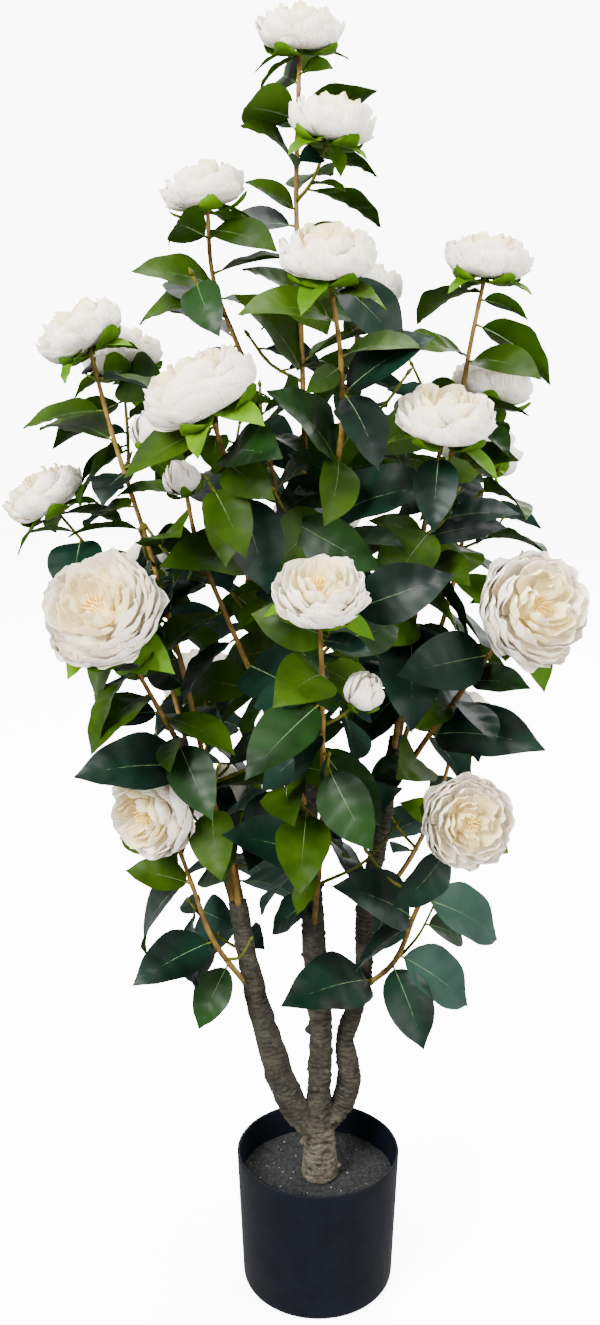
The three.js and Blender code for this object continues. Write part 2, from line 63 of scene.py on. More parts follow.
# ---- Driving dimensions of the solids, in millimetres ----
POT_RIM_RADIUS = 81
POT_BASE_RADIUS = 75.5
POT_HEIGHT = 145
POT_WALL = 2.6
POT_FLOOR = 4
POT_CORNER = 9
FILL_TOP = 115

STEM_ROOT = 3.3
STEM_TIP = 2.1
STEM_STEP = 60
TWIG_ROOT = 2.0
TWIG_TIP = 1.4
TWIG_STEPS = 2
TWIG_PITCH = 92  # spacing of the leafy twigs along a stem
TWIG_LENGTH = 88
TWIG_BARE_FOOT = 20
TWIG_FOOT_RISE = 28  # degrees above the horizon
TWIG_TIP_RISE = 52
TWIG_SLOPE = 0.9  # rise of a flower's twig for each millimetre outwards
TWIG_NEARER = 0.2  # how much a foot nearer to the flower counts against the right slope
TWIG_DRIFT = 0.6  # how far a leafy twig may stand beyond its place, as a share of the pitch
TWIG_TURN = 60  # degrees from the first leaf of a spray to its first leafy twig
TWIG_SHORTER = 0.35  # share by which the leafy twigs get shorter towards a stem's tip

LEAF_LOW = 94  # length of a leaf at LOW_LEVEL, with LEAF_HIGH at TOP_LEVEL
LEAF_HIGH = 68
LEAF_SPREAD = 0.16
LEAF_WIDTH = 0.56  # share of the length
LEAF_FOLD = 0.3  # radians by which each half rises
LEAF_PITCH = 28
LEAF_TRIES = 3
LEAF_OUTWARD = 0.8  # lean of the upper face away from the trunk
LEAF_RISE_LOW = -18  # degrees above the horizon
LEAF_RISE_HIGH = 16
LEAF_RISE_SPREAD = 72
LEAF_ROLL = 1.2  # radians
LEAF_DRIFT = 40  # degrees of compass angle over which a leaf may stand
RETRY_TURN = 120  # degrees that a leaf is turned on for each new try
DROOP_LEAST = 0.35  # radians by which a leaf bends down
DROOP_SPREAD = 0.7

BARE_FOOT = 34  # length of a stem's foot and tip that bears no leaf
BARE_TIP = 6
LOW_LEVEL = 380
TOP_LEVEL = 1180
THIN_BELOW = 620  # height under which leaves grow fewer, down to none at BARE_BELOW
BARE_BELOW = 290
GOLDEN_ANGLE = 137.5  # degrees
NECK_SHARE = 0.23  # distance from a flower's middle to its neck, as a share of its width
BUD_LIMIT = 50  # width under which a flower is a bud
ON_SURFACE = 0.5  # distance within which a point counts as lying on a solid

# Limbs: points on the axis with the radius there, from the foot up.
LIMBS = {
    "trunk": [
        (2, 0, 115.3, 18.5),
        (2, 0, 143, 16),
        (0, 0, 178, 16.5),
        (1, 0, 215, 12),
        (2, 0, 274, 11.5),
        (-4, 0, 364, 11.3),
        (-9, 2, 445, 10.6),
        (-13, 6, 545, 9),
        (-13, 10, 640, 7.5),
    ],
    "bough_left": [
        (4, 0, 163, 13),
        (-20, -3, 189, 14.5),
        (-36, -6, 224, 13.8),
        (-45, -8, 260, 13),
        (-59, -10, 313, 11),
        (-69, -12, 367, 9.4),
        (-77, -14, 422, 8.9),
    ],
    "bough_right": [
        (-2, 0, 166, 11),
        (22, 4, 190, 12.5),
        (31, 8, 222, 12),
        (27, 12, 262, 9.4),
        (44, 22, 319, 9),
        (46, 32, 389, 8.6),
        (60, 37, 465, 8),
        (75, 43, 566, 7),
    ],
}


def flower(x, y, z, compass, tilt, width):
    """A flower: its middle, the compass angle and tilt from upright that it faces, and its width."""
    return {"at": np.array([x, y, z], float), "compass": compass, "tilt": tilt, "width": width}


def leaf(share, x, y, z, tone):
    """A leaf with a place of its own: the share of the stem's length where it grows, its tip and tone."""
    return {"share": share, "tip": np.array([x, y, z], float), "tone": tone}


def new_spray(name, first_leaf, seat, via, flowers, leaves=()):
    """A spray: the compass angle of its first leaf, the point in a limb where its stem is let in, the
    points that the stem passes, its end flower and then those on side twigs, and the leaves that lie open
    at the front."""
    return {
        "node": f"spray_{name}",
        "first_leaf": first_leaf,
        "seat": seat,
        "via": via,
        "flowers": flowers,
        "leaves": leaves,
    }


SPRAYS = [
    # On the trunk, at the front and sides.
    new_spray(
        "top", first_leaf=200, seat=(-13, 14, 632),
        via=[(-12, 14, 720), (-14, 6, 840), (-17, 0, 945), (-21, -5, 1040), (-20, -4, 1110)],
        flowers=[flower(-18, 0, 1187, -90, 6, 72), flower(8, -50, 1112, 10, 10, 72)],
        leaves=[
            leaf(0.82, -66, -54, 1104, "bright"), leaf(0.76, -64, -22, 1064, "bright"),
            leaf(0.51, -72, -42, 975, "bright"),
        ],
    ),
    new_spray(
        "upper_left", first_leaf=120, seat=(-17, 8, 632),
        via=[(-28, 12, 730), (-44, 6, 830), (-64, -4, 912), (-90, -14, 984)],
        flowers=[flower(-98, -20, 1063, 170, 12, 72)],
        leaves=[leaf(0.84, -158, -30, 993, "bright"), leaf(0.95, -36, -58, 1008, "bright")],
    ),
    new_spray(
        "centre", first_leaf=30, seat=(-9, 7.5, 632),
        via=[(-4, -22, 715), (5, -52, 795), (16, -80, 866), (14, -98, 930)],
        flowers=[flower(4, -110, 1010, -90, 10, 80)],
        leaves=[
            leaf(0.43, 100, -88, 822, "deep"), leaf(0.74, 88, -110, 943, "deep"),
            leaf(0.58, -45, -112, 902, "mid"),
        ],
    ),
    new_spray(
        "inner_left", first_leaf=250, seat=(-13, 4, 590),
        via=[(-26, -26, 650), (-42, -48, 725), (-64, -74, 797), (-82, -98, 858)],
        flowers=[flower(-99, -120, 909, 185, 28, 98)],
        leaves=[leaf(0.75, -44, -108, 737, "deep"), leaf(0.52, -132, -118, 762, "bright")],
    ),
    new_spray(
        "low_left", first_leaf=210, seat=(-10, 2, 505),
        via=[(-36, -28, 575), (-60, -48, 650), (-84, -64, 715), (-104, -70, 770)],
        flowers=[flower(-116, -74, 828, 180, 20, 34)],
    ),
    new_spray(
        "front", first_leaf=300, seat=(-5, -1, 384),
        via=[(-2, -38, 446), (1, -76, 505), (1, -118, 590), (0, -158, 668)],
        flowers=[flower(-3, -200, 762, -88, 28, 74), flower(34, -152, 668, -60, 30, 36)],
        leaves=[
            leaf(0.28, -86, -100, 522, "deep"), leaf(0.37, 71, -95, 563, "deep"),
            leaf(0.66, -50, -124, 571, "deep"),
            leaf(0.78, -57, -124, 645, "deep"), leaf(0.56, 36, -124, 544, "deep"),
        ],
    ),
    # On the left bough, at the front and side.
    new_spray(
        "left_tall", first_leaf=150, seat=(-80, -11, 414),
        via=[(-88, -16, 470), (-106, -34, 574), (-122, -48, 662), (-146, -55, 763), (-174, -42, 852)],
        flowers=[
            flower(-206, -20, 948, 175, 32, 78), flower(-180, 60, 925, 110, 22, 76),
            flower(-144, -62, 866, 200, 12, 34), flower(-240, -30, 812, 180, 30, 74),
        ],
    ),
    new_spray(
        "left_front", first_leaf=90, seat=(-75, -19, 414),
        via=[(-84, -30, 476), (-104, -54, 552), (-134, -86, 622)],
        flowers=[flower(-180, -140, 733, -110, 52, 102)],
        leaves=[leaf(0.49, -214, -90, 571, "deep"), leaf(0.33, -85, -78, 470, "bright")],
    ),
    new_spray(
        "left_low", first_leaf=240, seat=(-62, -11, 322),
        via=[(-98, -26, 382), (-117, -36, 444)],
        flowers=[flower(-154, -62, 526, -130, 98, 90)],
        leaves=[
            leaf(0.33, -171, -75, 364, "deep"), leaf(0.2, -114, -44, 302, "mid"),
            leaf(0.62, -180, -30, 458, "bright"),
        ],
    ),
    # On the right bough, at the front and side.
    new_spray(
        "right_tall", first_leaf=20, seat=(77, 48, 558),
        via=[(86, 36, 665), (100, 22, 758), (116, 12, 835), (129, 14, 925)],
        flowers=[flower(144, 20, 1008, 10, 8, 76), flower(156, 44, 900, 40, 14, 74)],
        leaves=[leaf(0.62, 170, -30, 837, "bright"), leaf(0.83, 186, -30, 905, "bright")],
    ),
    new_spray(
        "right_inner", first_leaf=320, seat=(72, 36, 556),
        via=[(80, 8, 660), (86, -20, 745), (92, -50, 808)],
        flowers=[flower(101, -90, 884, -60, 12, 84)],
        leaves=[
            leaf(0.41, 79, -70, 605, "deep"), leaf(0.57, 124, -90, 740, "bright"),
            leaf(0.66, 159, -50, 782, "deep"),
        ],
    ),
    new_spray(
        "right_bloom", first_leaf=0, seat=(66, 39, 505),
        via=[(100, -4, 580), (122, -32, 625), (148, -44, 668)],
        flowers=[flower(184, -70, 717, -66, 68, 102)],
        leaves=[leaf(0.38, 200, -56, 584, "deep"), leaf(0.68, 182, -70, 645, "mid")],
    ),
    new_spray(
        "right_low", first_leaf=340, seat=(44, 22, 310),
        via=[(72, -22, 362), (88, -50, 425), (106, -70, 482)],
        flowers=[flower(128, -102, 534, -78, 74, 84)],
        leaves=[
            leaf(0.09, -36, -62, 336, "deep"), leaf(0.26, 98, -60, 290, "deep"),
            leaf(0.32, 146, 2, 302, "pale"),
            leaf(0.52, 10, -92, 470, "deep"), leaf(0.63, 169, -20, 383, "pale"),
        ],
    ),
    # On the trunk, at the back.
    new_spray(
        "back_top", first_leaf=60, seat=(-14, 9, 600),
        via=[(4, 44, 690), (20, 66, 790), (30, 78, 880)],
        flowers=[flower(38, 84, 985, 60, 16, 78)],
    ),
    new_spray(
        "back_high_left", first_leaf=100, seat=(-13, 8, 572),
        via=[(-44, 52, 640), (-74, 84, 735), (-92, 98, 815)],
        flowers=[flower(-104, 112, 900, 130, 26, 82)],
    ),
    new_spray(
        "back_middle", first_leaf=45, seat=(-8, 2, 420),
        via=[(-2, 54, 500), (2, 104, 585), (0, 142, 670)],
        flowers=[flower(-6, 188, 752, 95, 40, 96), flower(50, 150, 640, 60, 55, 84)],
    ),
    # On the boughs, at the back: left, right, left, right.
    new_spray(
        "back_left", first_leaf=130, seat=(-78, -12, 404),
        via=[(-104, 34, 470), (-130, 74, 550), (-150, 98, 625)],
        flowers=[flower(-176, 124, 712, 140, 42, 92), flower(-120, 150, 590, 110, 60, 82)],
    ),
    new_spray(
        "back_right", first_leaf=10, seat=(72, 44, 530),
        via=[(104, 84, 612), (130, 112, 690), (142, 120, 750)],
        flowers=[flower(156, 134, 832, 50, 30, 86)],
    ),
    new_spray(
        "back_low_left", first_leaf=110, seat=(-52, -9, 286),
        via=[(-66, 42, 345), (-82, 82, 410)],
        flowers=[flower(-92, 118, 478, 120, 62, 82)],
    ),
    new_spray(
        "back_low_right", first_leaf=70, seat=(46, 31, 380),
        via=[(92, 62, 432), (122, 88, 490)],
        flowers=[flower(150, 116, 560, 45, 58, 84)],
    ),
]

# ---- Driving values of the finer parts, in millimetres ----
BLADE_FOOT = 0.08  # share of a leaf's length that is its stalk
BLADE_THICK = 0.3  # half thickness of a leaf at its middle
PETAL_THICK = 0.25  # half thickness of a petal
SEPAL_THICK = 0.4
SHOOT_SHARE = 0.88  # radius of a round shoot against its solid, which has corners
FINE_PITCH = 14  # spacing of the smaller leaves that fill in between
FINE_SHORTEST = 0.45  # size of a smaller leaf against a full one
FINE_LONGEST = 0.8
FINE_ROOM = 7.0  # distance that a smaller leaf keeps from the solids beyond its foot
FINE_APART = 10.5  # distance between points of two smaller leaves
FINE_KEPT = 0.6  # share of the finer places that are used where the crown is full
FINE_FIRST = 1000  # number of a spray's first smaller leaf, above those of the others
BARK_PITCH = 1.3  # spacing of the points on the bark
KNOB_PITCH = 6  # spacing of the knobs along a limb
FORK_LEVEL = 175  # height of the middle of the burr where the boughs leave the trunk
FULL_LEAF = 80  # length of a leaf that waves, veins and ribs are given for


# What each chance is drawn for.
KEPT_DRAW = 0
COMPASS_DRAW = 2
RISE_DRAW = 3
LENGTH_DRAW = 4
ROLL_DRAW = 5
WIDTH_DRAW = 6
DROOP_DRAW = 7
OPEN_DROOP_DRAW = 8
SIZE_DRAW = 9
DRAWS_PER_TRY = 10
TWIG_PLACE_DRAW = 21
TWIG_REACH_DRAW = 22
BRIGHT_DRAW = 31
MID_DRAW = 32
BACK_DRAW = 33


# ---- Small helpers ----
def unit(vector):
    """The vector or vectors at length one."""
    return vector / np.linalg.norm(vector, axis=-1, keepdims=True)


def mix(start, end, share):
    """The value at a share of the way from start to end. The share may be an array or a wire."""
    return start + (end - start) * share


STRIDES = (12.9898, 78.233, 37.719)  # phases of a sine, far apart for whole numbers that follow on
SCATTER = 43758.5453  # height of that sine, so great that its digits after the point look random


def chance(seed, number, draw):
    """A number from 0 to 1 that depends only on the seed, the number and what it is drawn for."""
    wave = math.sin(seed * STRIDES[0] + number * STRIDES[1] + draw * STRIDES[2]) * SCATTER
    return wave - math.floor(wave)


def chances(count, seed, draw):
    """An array of chances, one for each number from 0 to count - 1."""
    wave = np.sin(seed * STRIDES[0] + np.arange(count) * STRIDES[1] + draw * STRIDES[2]) * SCATTER
    return wave - np.floor(wave)


def heading(compass, rise):
    """The unit vector at a compass angle (0 is +X, 90 is +Y) and an angle above the horizon."""
    a = math.radians(compass)
    e = math.radians(rise)
    return np.array([math.cos(a) * math.cos(e), math.sin(a) * math.cos(e), math.sin(e)])


def side_of(axis):
    """A unit vector square to a direction, or to each of many."""
    slanting = np.array([0.31, 0.95, 0.05])
    return unit(np.cross(axis, slanting))


def turned(vector, axis, angle):
    """The vector turned round a unit axis by an angle in radians."""
    across = np.cross(axis, vector)
    along = axis * np.dot(axis, vector)
    return along + (vector - along) * math.cos(angle) + across * math.sin(angle)


def curve_through(points, shares):
    """Points of a curve at shares of its spans: on each span a cubic passes both ends, and its slope at
    each end is half the chord between the neighbours of that end."""
    points = np.asarray(points, float)
    first = 2 * points[0] - points[1]
    last = 2 * points[-1] - points[-2]
    padded = np.vstack([first, points, last])
    place = np.clip(np.asarray(shares, float), 0, 1) * (len(points) - 1)
    span = np.minimum(place.astype(int), len(points) - 2)
    t = (place - span)[:, None]
    before, start, end, after = (padded[span + k] for k in range(4))
    leave = 0.5 * (end - before)
    arrive = 0.5 * (after - start)
    squared = 3 * (end - start) - 2 * leave - arrive
    cubed = 2 * (start - end) + leave + arrive
    return start + leave * t + squared * t**2 + cubed * t**3


def steps_of(line):
    """The distances from each point of a line to the next."""
    return np.linalg.norm(np.diff(line, axis=0), axis=1)


def length_of(line):
    """Length of a line of points."""
    return float(steps_of(line).sum())


def point_along(line, distance):
    """The point at a distance along a line of points."""
    steps = steps_of(line)
    passed = np.concatenate([[0], np.cumsum(steps)])
    span = int(np.clip(np.searchsorted(passed, distance) - 1, 0, len(steps) - 1))
    return mix(line[span], line[span + 1], (distance - passed[span]) / steps[span])


# ---- The rule by which the solids grow ----
def facing(bloom):
    """The direction that a flower faces."""
    return heading(bloom["compass"], 90 - bloom["tilt"])


def neck_of(bloom):
    """The end of the shoot under a flower."""
    return bloom["at"] - facing(bloom) * bloom["width"] * NECK_SHARE


def shoot(points, root, tip, rings=None):
    """A shoot: its points, its radii, and the line of points that leaves and twigs grow from."""
    points = np.asarray(points, float)
    if rings is None:
        whole = length_of(curve_through(points, np.linspace(0, 1, 201)))
        rings = math.floor(whole / STEM_STEP + 0.5) + 1
    line = curve_through(points, np.linspace(0, 1, rings + 1))
    return {"points": points, "root": root, "tip": tip, "line": line, "length": length_of(line)}


def stem_of(spray):
    """The stem of a spray, from its seat in the limb to its end flower."""
    return shoot([spray["seat"], *spray["via"], neck_of(spray["flowers"][0])], STEM_ROOT, STEM_TIP)


def flower_twig(stem, bloom):
    """The twig to a side flower: it leaves the stem where it can rise to the flower at TWIG_SLOPE."""
    stations = 40
    neck = neck_of(bloom)
    feet = [point_along(stem["line"], i * stem["length"] / stations) for i in range(stations + 1)]

    def miss(foot):
        """How badly a foot on the stem suits the flower."""
        away = math.hypot(foot[0] - neck[0], foot[1] - neck[1])
        return abs(neck[2] - foot[2] - TWIG_SLOPE * away) + TWIG_NEARER * away

    foot = min(feet, key=miss)
    under = neck - facing(bloom) * 0.3 * np.linalg.norm(foot - neck)
    return shoot([foot, mix(foot, under, 0.6), neck], TWIG_ROOT, TWIG_TIP, TWIG_STEPS)


def leafy_twig(stem, spray, number, i):
    """A leafy side twig: it leaves the stem at the golden angle from the last and turns up at its tip."""
    place = BARE_FOOT + (i + TWIG_DRIFT * chance(number, i, TWIG_PLACE_DRAW)) * TWIG_PITCH
    foot = point_along(stem["line"], place)
    compass = spray["first_leaf"] + TWIG_TURN + i * GOLDEN_ANGLE
    reach = TWIG_LENGTH * (1 - TWIG_SHORTER * place / stem["length"])
    reach = reach * (0.8 + 0.4 * chance(number, i, TWIG_REACH_DRAW))
    middle = foot + heading(compass, TWIG_FOOT_RISE) * 0.5 * reach
    tip = middle + heading(compass, TWIG_TIP_RISE) * 0.5 * reach
    return shoot([foot, middle, tip], TWIG_ROOT, TWIG_TIP, TWIG_STEPS)


def leaf_places(growth, bare_foot, pitch, first):
    """The distances along a shoot where a leaf may grow."""
    room = growth["length"] - bare_foot - BARE_TIP
    count = max(math.floor((room - first) / pitch) + 1, 0)
    return [bare_foot + first + i * pitch for i in range(count)]


def leaf_bases(stem, twigs, pitch, first=0.0):
    """The points along a stem and its twigs where a leaf may grow."""
    shoots = [(stem, BARE_FOOT)] + [(twig, TWIG_BARE_FOOT) for twig in twigs]
    return [
        point_along(growth["line"], place)
        for growth, bare_foot in shoots
        for place in leaf_places(growth, bare_foot, pitch, first)
    ]


def fullness(base):
    """The share of the leaves that grow at the height of a point."""
    return min((base[2] - BARE_BELOW) / (THIN_BELOW - BARE_BELOW), 1)


def level_of(base):
    """The height of a point in the crown, from 0 at its foot to 1 at its top."""
    return min(max((base[2] - LOW_LEVEL) / (TOP_LEVEL - LOW_LEVEL), 0), 1)


def leaf_face(out, direction, roll):
    """The upper face of a leaf looks up and to the side of `out`, square to its direction, rolled."""
    face = unit(np.asarray(out, float)) * LEAF_OUTWARD + np.array([0, 0, 1.0])
    face = unit(face - direction * np.dot(face, direction))
    return turned(face, direction, roll)


def leaf_to(base, tip, droop):
    """The leaf that grows from base and ends at tip, with its upper face open to the front."""
    chord = tip - base
    direction = unit(chord)
    face = leaf_face((0, -1, 0), direction, 0)
    half = droop / 2
    length = np.linalg.norm(chord) * half / math.sin(half)
    return {
        "base": base,
        "dir": direction * math.cos(half) + face * math.sin(half),
        "face": face * math.cos(half) - direction * math.sin(half),
        "length": length,
        "width": length * LEAF_WIDTH,
        "droop": droop,
    }


def leaf_at(base, spray, number, i, attempt):
    """A leaf at its place on a spray, turned further round at each new try."""

    def draw(purpose):
        """A chance of this leaf's own at this try."""
        return chance(number, i, purpose + DRAWS_PER_TRY * attempt)

    level = level_of(base)
    compass = spray["first_leaf"] + i * GOLDEN_ANGLE + LEAF_DRIFT * (draw(COMPASS_DRAW) - 0.5)
    compass = compass + RETRY_TURN * attempt
    rise = mix(LEAF_RISE_LOW, LEAF_RISE_HIGH, level) + LEAF_RISE_SPREAD * (draw(RISE_DRAW) - 0.5)
    direction = heading(compass, rise)
    length = mix(LEAF_LOW, LEAF_HIGH, level) * (1 + LEAF_SPREAD * (2 * draw(LENGTH_DRAW) - 1))
    return {
        "base": base,
        "dir": direction,
        "face": leaf_face((base[0], base[1], 0), direction, LEAF_ROLL * (draw(ROLL_DRAW) - 0.5)),
        "length": length,
        "width": length * LEAF_WIDTH * (0.92 + 0.16 * draw(WIDTH_DRAW)),
        "droop": DROOP_LEAST + DROOP_SPREAD * draw(DROOP_DRAW),
    }


# ---- Leaves as surfaces ----
def blade_points(leaves, shares, across, half_width, edge_wave=0.0, crease=0.04, veins=0.0):
    """Points of many leaves, by leaf, row and place across.

    The middle line leaves the base along `dir` and bends down through `droop` radians as a circle does.
    `shares` and `half_width` say, for each row or for each point, how far along the leaf it is and how
    wide the leaf is there. Each half rises by the fold, which `crease` rounds off at the middle. Towards
    the edge it also rises and falls by `edge_wave` millimetres in slow waves. Between the edge and the
    middle the rows lie `veins` millimetres low, level and high in turn.
    """
    place = np.asarray(across, float)[None, None, :, None]
    rows = [np.asarray(values, float) for values in (shares, half_width)]
    share, half = (values.reshape(1, len(values), -1, 1) for values in rows)
    direction = leaves["dir"][:, None, None]
    face = leaves["face"][:, None, None]
    droop = leaves["droop"][:, None, None, None]
    length = leaves["length"][:, None, None, None]
    turn = droop * share
    middle = leaves["base"][:, None, None] + direction * np.sin(turn) / droop * length
    middle = middle - face * (1 - np.cos(turn)) / droop * length
    side = np.cross(leaves["dir"], leaves["face"])[:, None, None]
    normal = face * np.cos(turn) + direction * np.sin(turn)
    width = leaves["width"][:, None, None, None]
    reach = place * half * width / 2
    round_off = crease * width
    rise = (np.sqrt(reach**2 + round_off**2) - round_off) * math.sin(LEAF_FOLD)
    phase = leaves["phase"][:, None, None, None]
    bends = 1 + 2 * np.mod(phase * 7.3, 1)
    wave = np.sin(math.tau * (bends * share + phase) + 2.1 * np.sign(place))
    rise = rise + edge_wave * place**2 * wave * np.sin(math.pi * share) * length / FULL_LEAF
    step = (np.arange(share.shape[1]) % 3)[None, :, None, None] - 1
    rise = rise + veins * step * np.sin(math.pi * np.abs(place)) * length / FULL_LEAF
    return middle + side * reach * math.cos(LEAF_FOLD) + normal * rise


def leaf_array(leaves):
    """Many leaves as one set of arrays."""
    keys = ("base", "dir", "face", "length", "width", "droop")
    table = {key: np.array([one[key] for one in leaves], float) for key in keys}
    table["phase"] = chances(len(leaves), 5, 1)
    return table


class Solids:
    """The surface of some CAD nodes, to measure distances from in millimetres."""

    def __init__(self, *names):
        vertices = []
        faces = []
        for name in names:
            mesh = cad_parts[name].data
            start = len(vertices)
            vertices.extend(vertex.co.copy() for vertex in mesh.vertices)
            faces.extend([start + k for k in face.vertices] for face in mesh.polygons)
        self.tree = BVHTree.FromPolygons(vertices, faces)

    def distance(self, point):
        """Distance from the point to the nearest surface."""
        return self.tree.find_nearest(Vector([float(value) * MM for value in point]))[3] / MM


def in_solid(one, solid):
    """Whether the solid has this leaf: its tip and a wide corner of its outline lie on the surface."""
    table = leaf_array([one])
    tip = blade_points(table, [1.0], [0.0], [0.0])[0, 0, 0]
    corners = blade_points(table, [0.34], [-1.0, 1.0], [1.0], crease=0.0)[0, 0]
    nearest = min(solid.distance(corner) for corner in corners)
    return solid.distance(tip) < ON_SURFACE and nearest < ON_SURFACE


def grow_sprays():
    """The stems, twigs and full-size leaves of all the sprays, as the solids have them."""
    grown = []
    for number, spray in enumerate(SPRAYS):
        solid = Solids(spray["node"])
        stem = stem_of(spray)
        flower_twigs = [flower_twig(stem, bloom) for bloom in spray["flowers"][1:]]
        leafy = []
        for i in range(math.floor((stem["length"] - BARE_FOOT) / TWIG_PITCH)):
            twig = leafy_twig(stem, spray, number, i)
            if solid.distance(twig["line"][-1]) < ON_SURFACE:
                leafy.append(twig)
        leaves = []
        for i, plan in enumerate(spray["leaves"]):
            base = point_along(stem["line"], plan["share"] * stem["length"])
            one = leaf_to(base, plan["tip"], 0.5 + 0.4 * chance(number, i, OPEN_DROOP_DRAW))
            if in_solid(one, solid):
                leaves.append({**one, "tone": plan["tone"]})
        for i, base in enumerate(leaf_bases(stem, flower_twigs + leafy, LEAF_PITCH)):
            if chance(number, i, KEPT_DRAW) > fullness(base):
                continue
            for attempt in range(LEAF_TRIES):
                one = leaf_at(base, spray, number, i, attempt)
                if in_solid(one, solid):
                    leaves.append(one)
                    break
        grown.append({
            "spray": spray,
            "stem": stem,
            "flower_twigs": flower_twigs,
            "leafy_twigs": leafy,
            "leaves": leaves,
        })
    return grown


# ---- Smaller leaves in between ----
def sample_points(one):
    """Points spread over a leaf beyond its foot."""
    shares = [0.35, 0.55, 0.75, 1.0]
    return blade_points(leaf_array([one]), shares, [-1, 0, 1], [1, 1, 0.7, 0])[0].reshape(-1, 3)


def fill_in(grown):
    """Adds smaller leaves by the same rule at a finer pitch, where they stay clear of all that is there."""
    everything = Solids(*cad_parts)
    lowest, highest = (np.array(corner) / MM for corner in (low_at_start, high_at_start))
    taken = np.zeros((0, 3))
    for number, plan in enumerate(grown):
        small = []
        twigs = plan["flower_twigs"] + plan["leafy_twigs"]
        bases = leaf_bases(plan["stem"], twigs, FINE_PITCH, FINE_PITCH / 2)
        for i, base in enumerate(bases, start=FINE_FIRST):
            if chance(number, i, KEPT_DRAW) > FINE_KEPT * fullness(base):
                continue
            size = mix(FINE_SHORTEST, FINE_LONGEST, chance(number, i, SIZE_DRAW))
            for attempt in range(LEAF_TRIES):
                one = leaf_at(base, plan["spray"], number, i, attempt)
                one = {**one, "length": one["length"] * size, "width": one["width"] * size}
                points = sample_points(one)
                if (points < lowest).any() or (points > highest).any():
                    continue
                if min(everything.distance(point) for point in points) < FINE_ROOM:
                    continue
                if len(taken):
                    apart = np.linalg.norm(points[:, None] - taken[None], axis=2)
                    if apart.min() < FINE_APART:
                        continue
                taken = np.vstack([taken, points])
                small.append(one)
                break
        plan["small_leaves"] = small


# ---- Surfaces ----
def noise(points, cell, seed=0.0):
    """Smooth noise from 0 to 1: chances at the corners of cells of that size, blended between them."""
    place = np.asarray(points, float) / cell
    corner = np.floor(place)
    share = place - corner
    share = share * share * (3 - 2 * share)
    total = 0
    for step in np.ndindex(2, 2, 2):
        at = corner + np.array(step)
        wave = np.sin(at @ np.array(STRIDES) + seed) * SCATTER
        value = wave - np.floor(wave)
        weight = np.where(np.array(step) == 1, share, 1 - share).prod(axis=-1)
        total = total + value * weight
    return total


def grid_faces(rows, columns, count=1, closed=False):
    """Faces of `count` grids of points laid out one after another. A closed grid joins its last column
    to its first."""
    row = np.arange(rows - 1)[:, None]
    column = np.arange(columns if closed else columns - 1)[None, :]
    following = (column + 1) % columns
    corners = [row * columns + column, row * columns + following]
    corners += [(row + 1) * columns + following, (row + 1) * columns + column]
    faces = np.stack([corner + 0 * row for corner in corners], axis=-1).reshape(-1, 4)
    starts = np.arange(count)[:, None, None] * rows * columns
    return (faces[None] + starts).reshape(-1, 4)


def fan_faces(ring, pole, columns):
    """Triangles between a ring of points, counted from its first, and a pole."""
    column = np.arange(columns)
    return np.stack([ring + column, ring + (column + 1) % columns, np.full(columns, pole)], axis=-1)


def normals_of(points):
    """Unit normals of grids of points, square to both directions of each grid."""
    down = np.gradient(points, axis=-3)
    along = np.gradient(points, axis=-2)
    return unit(np.cross(along, down) + 1e-12)


def frames_along(line):
    """Two unit vectors square to a line of points, at each of them."""
    along = unit(np.gradient(line, axis=0))
    side = side_of(along)
    return side, np.cross(side, along)


def tube_points(line, radii, sides):
    """Rings of points round a line: each ring is square to the line, at the radii given for it."""
    angles = np.arange(sides) * math.tau / sides
    side, front = frames_along(line)
    radii = np.broadcast_to(np.asarray(radii, float).reshape(len(line), -1), (len(line), sides))
    around = side[:, None] * np.sin(angles)[None, :, None] + front[:, None] * np.cos(angles)[None, :, None]
    return line[:, None] + around * radii[..., None]


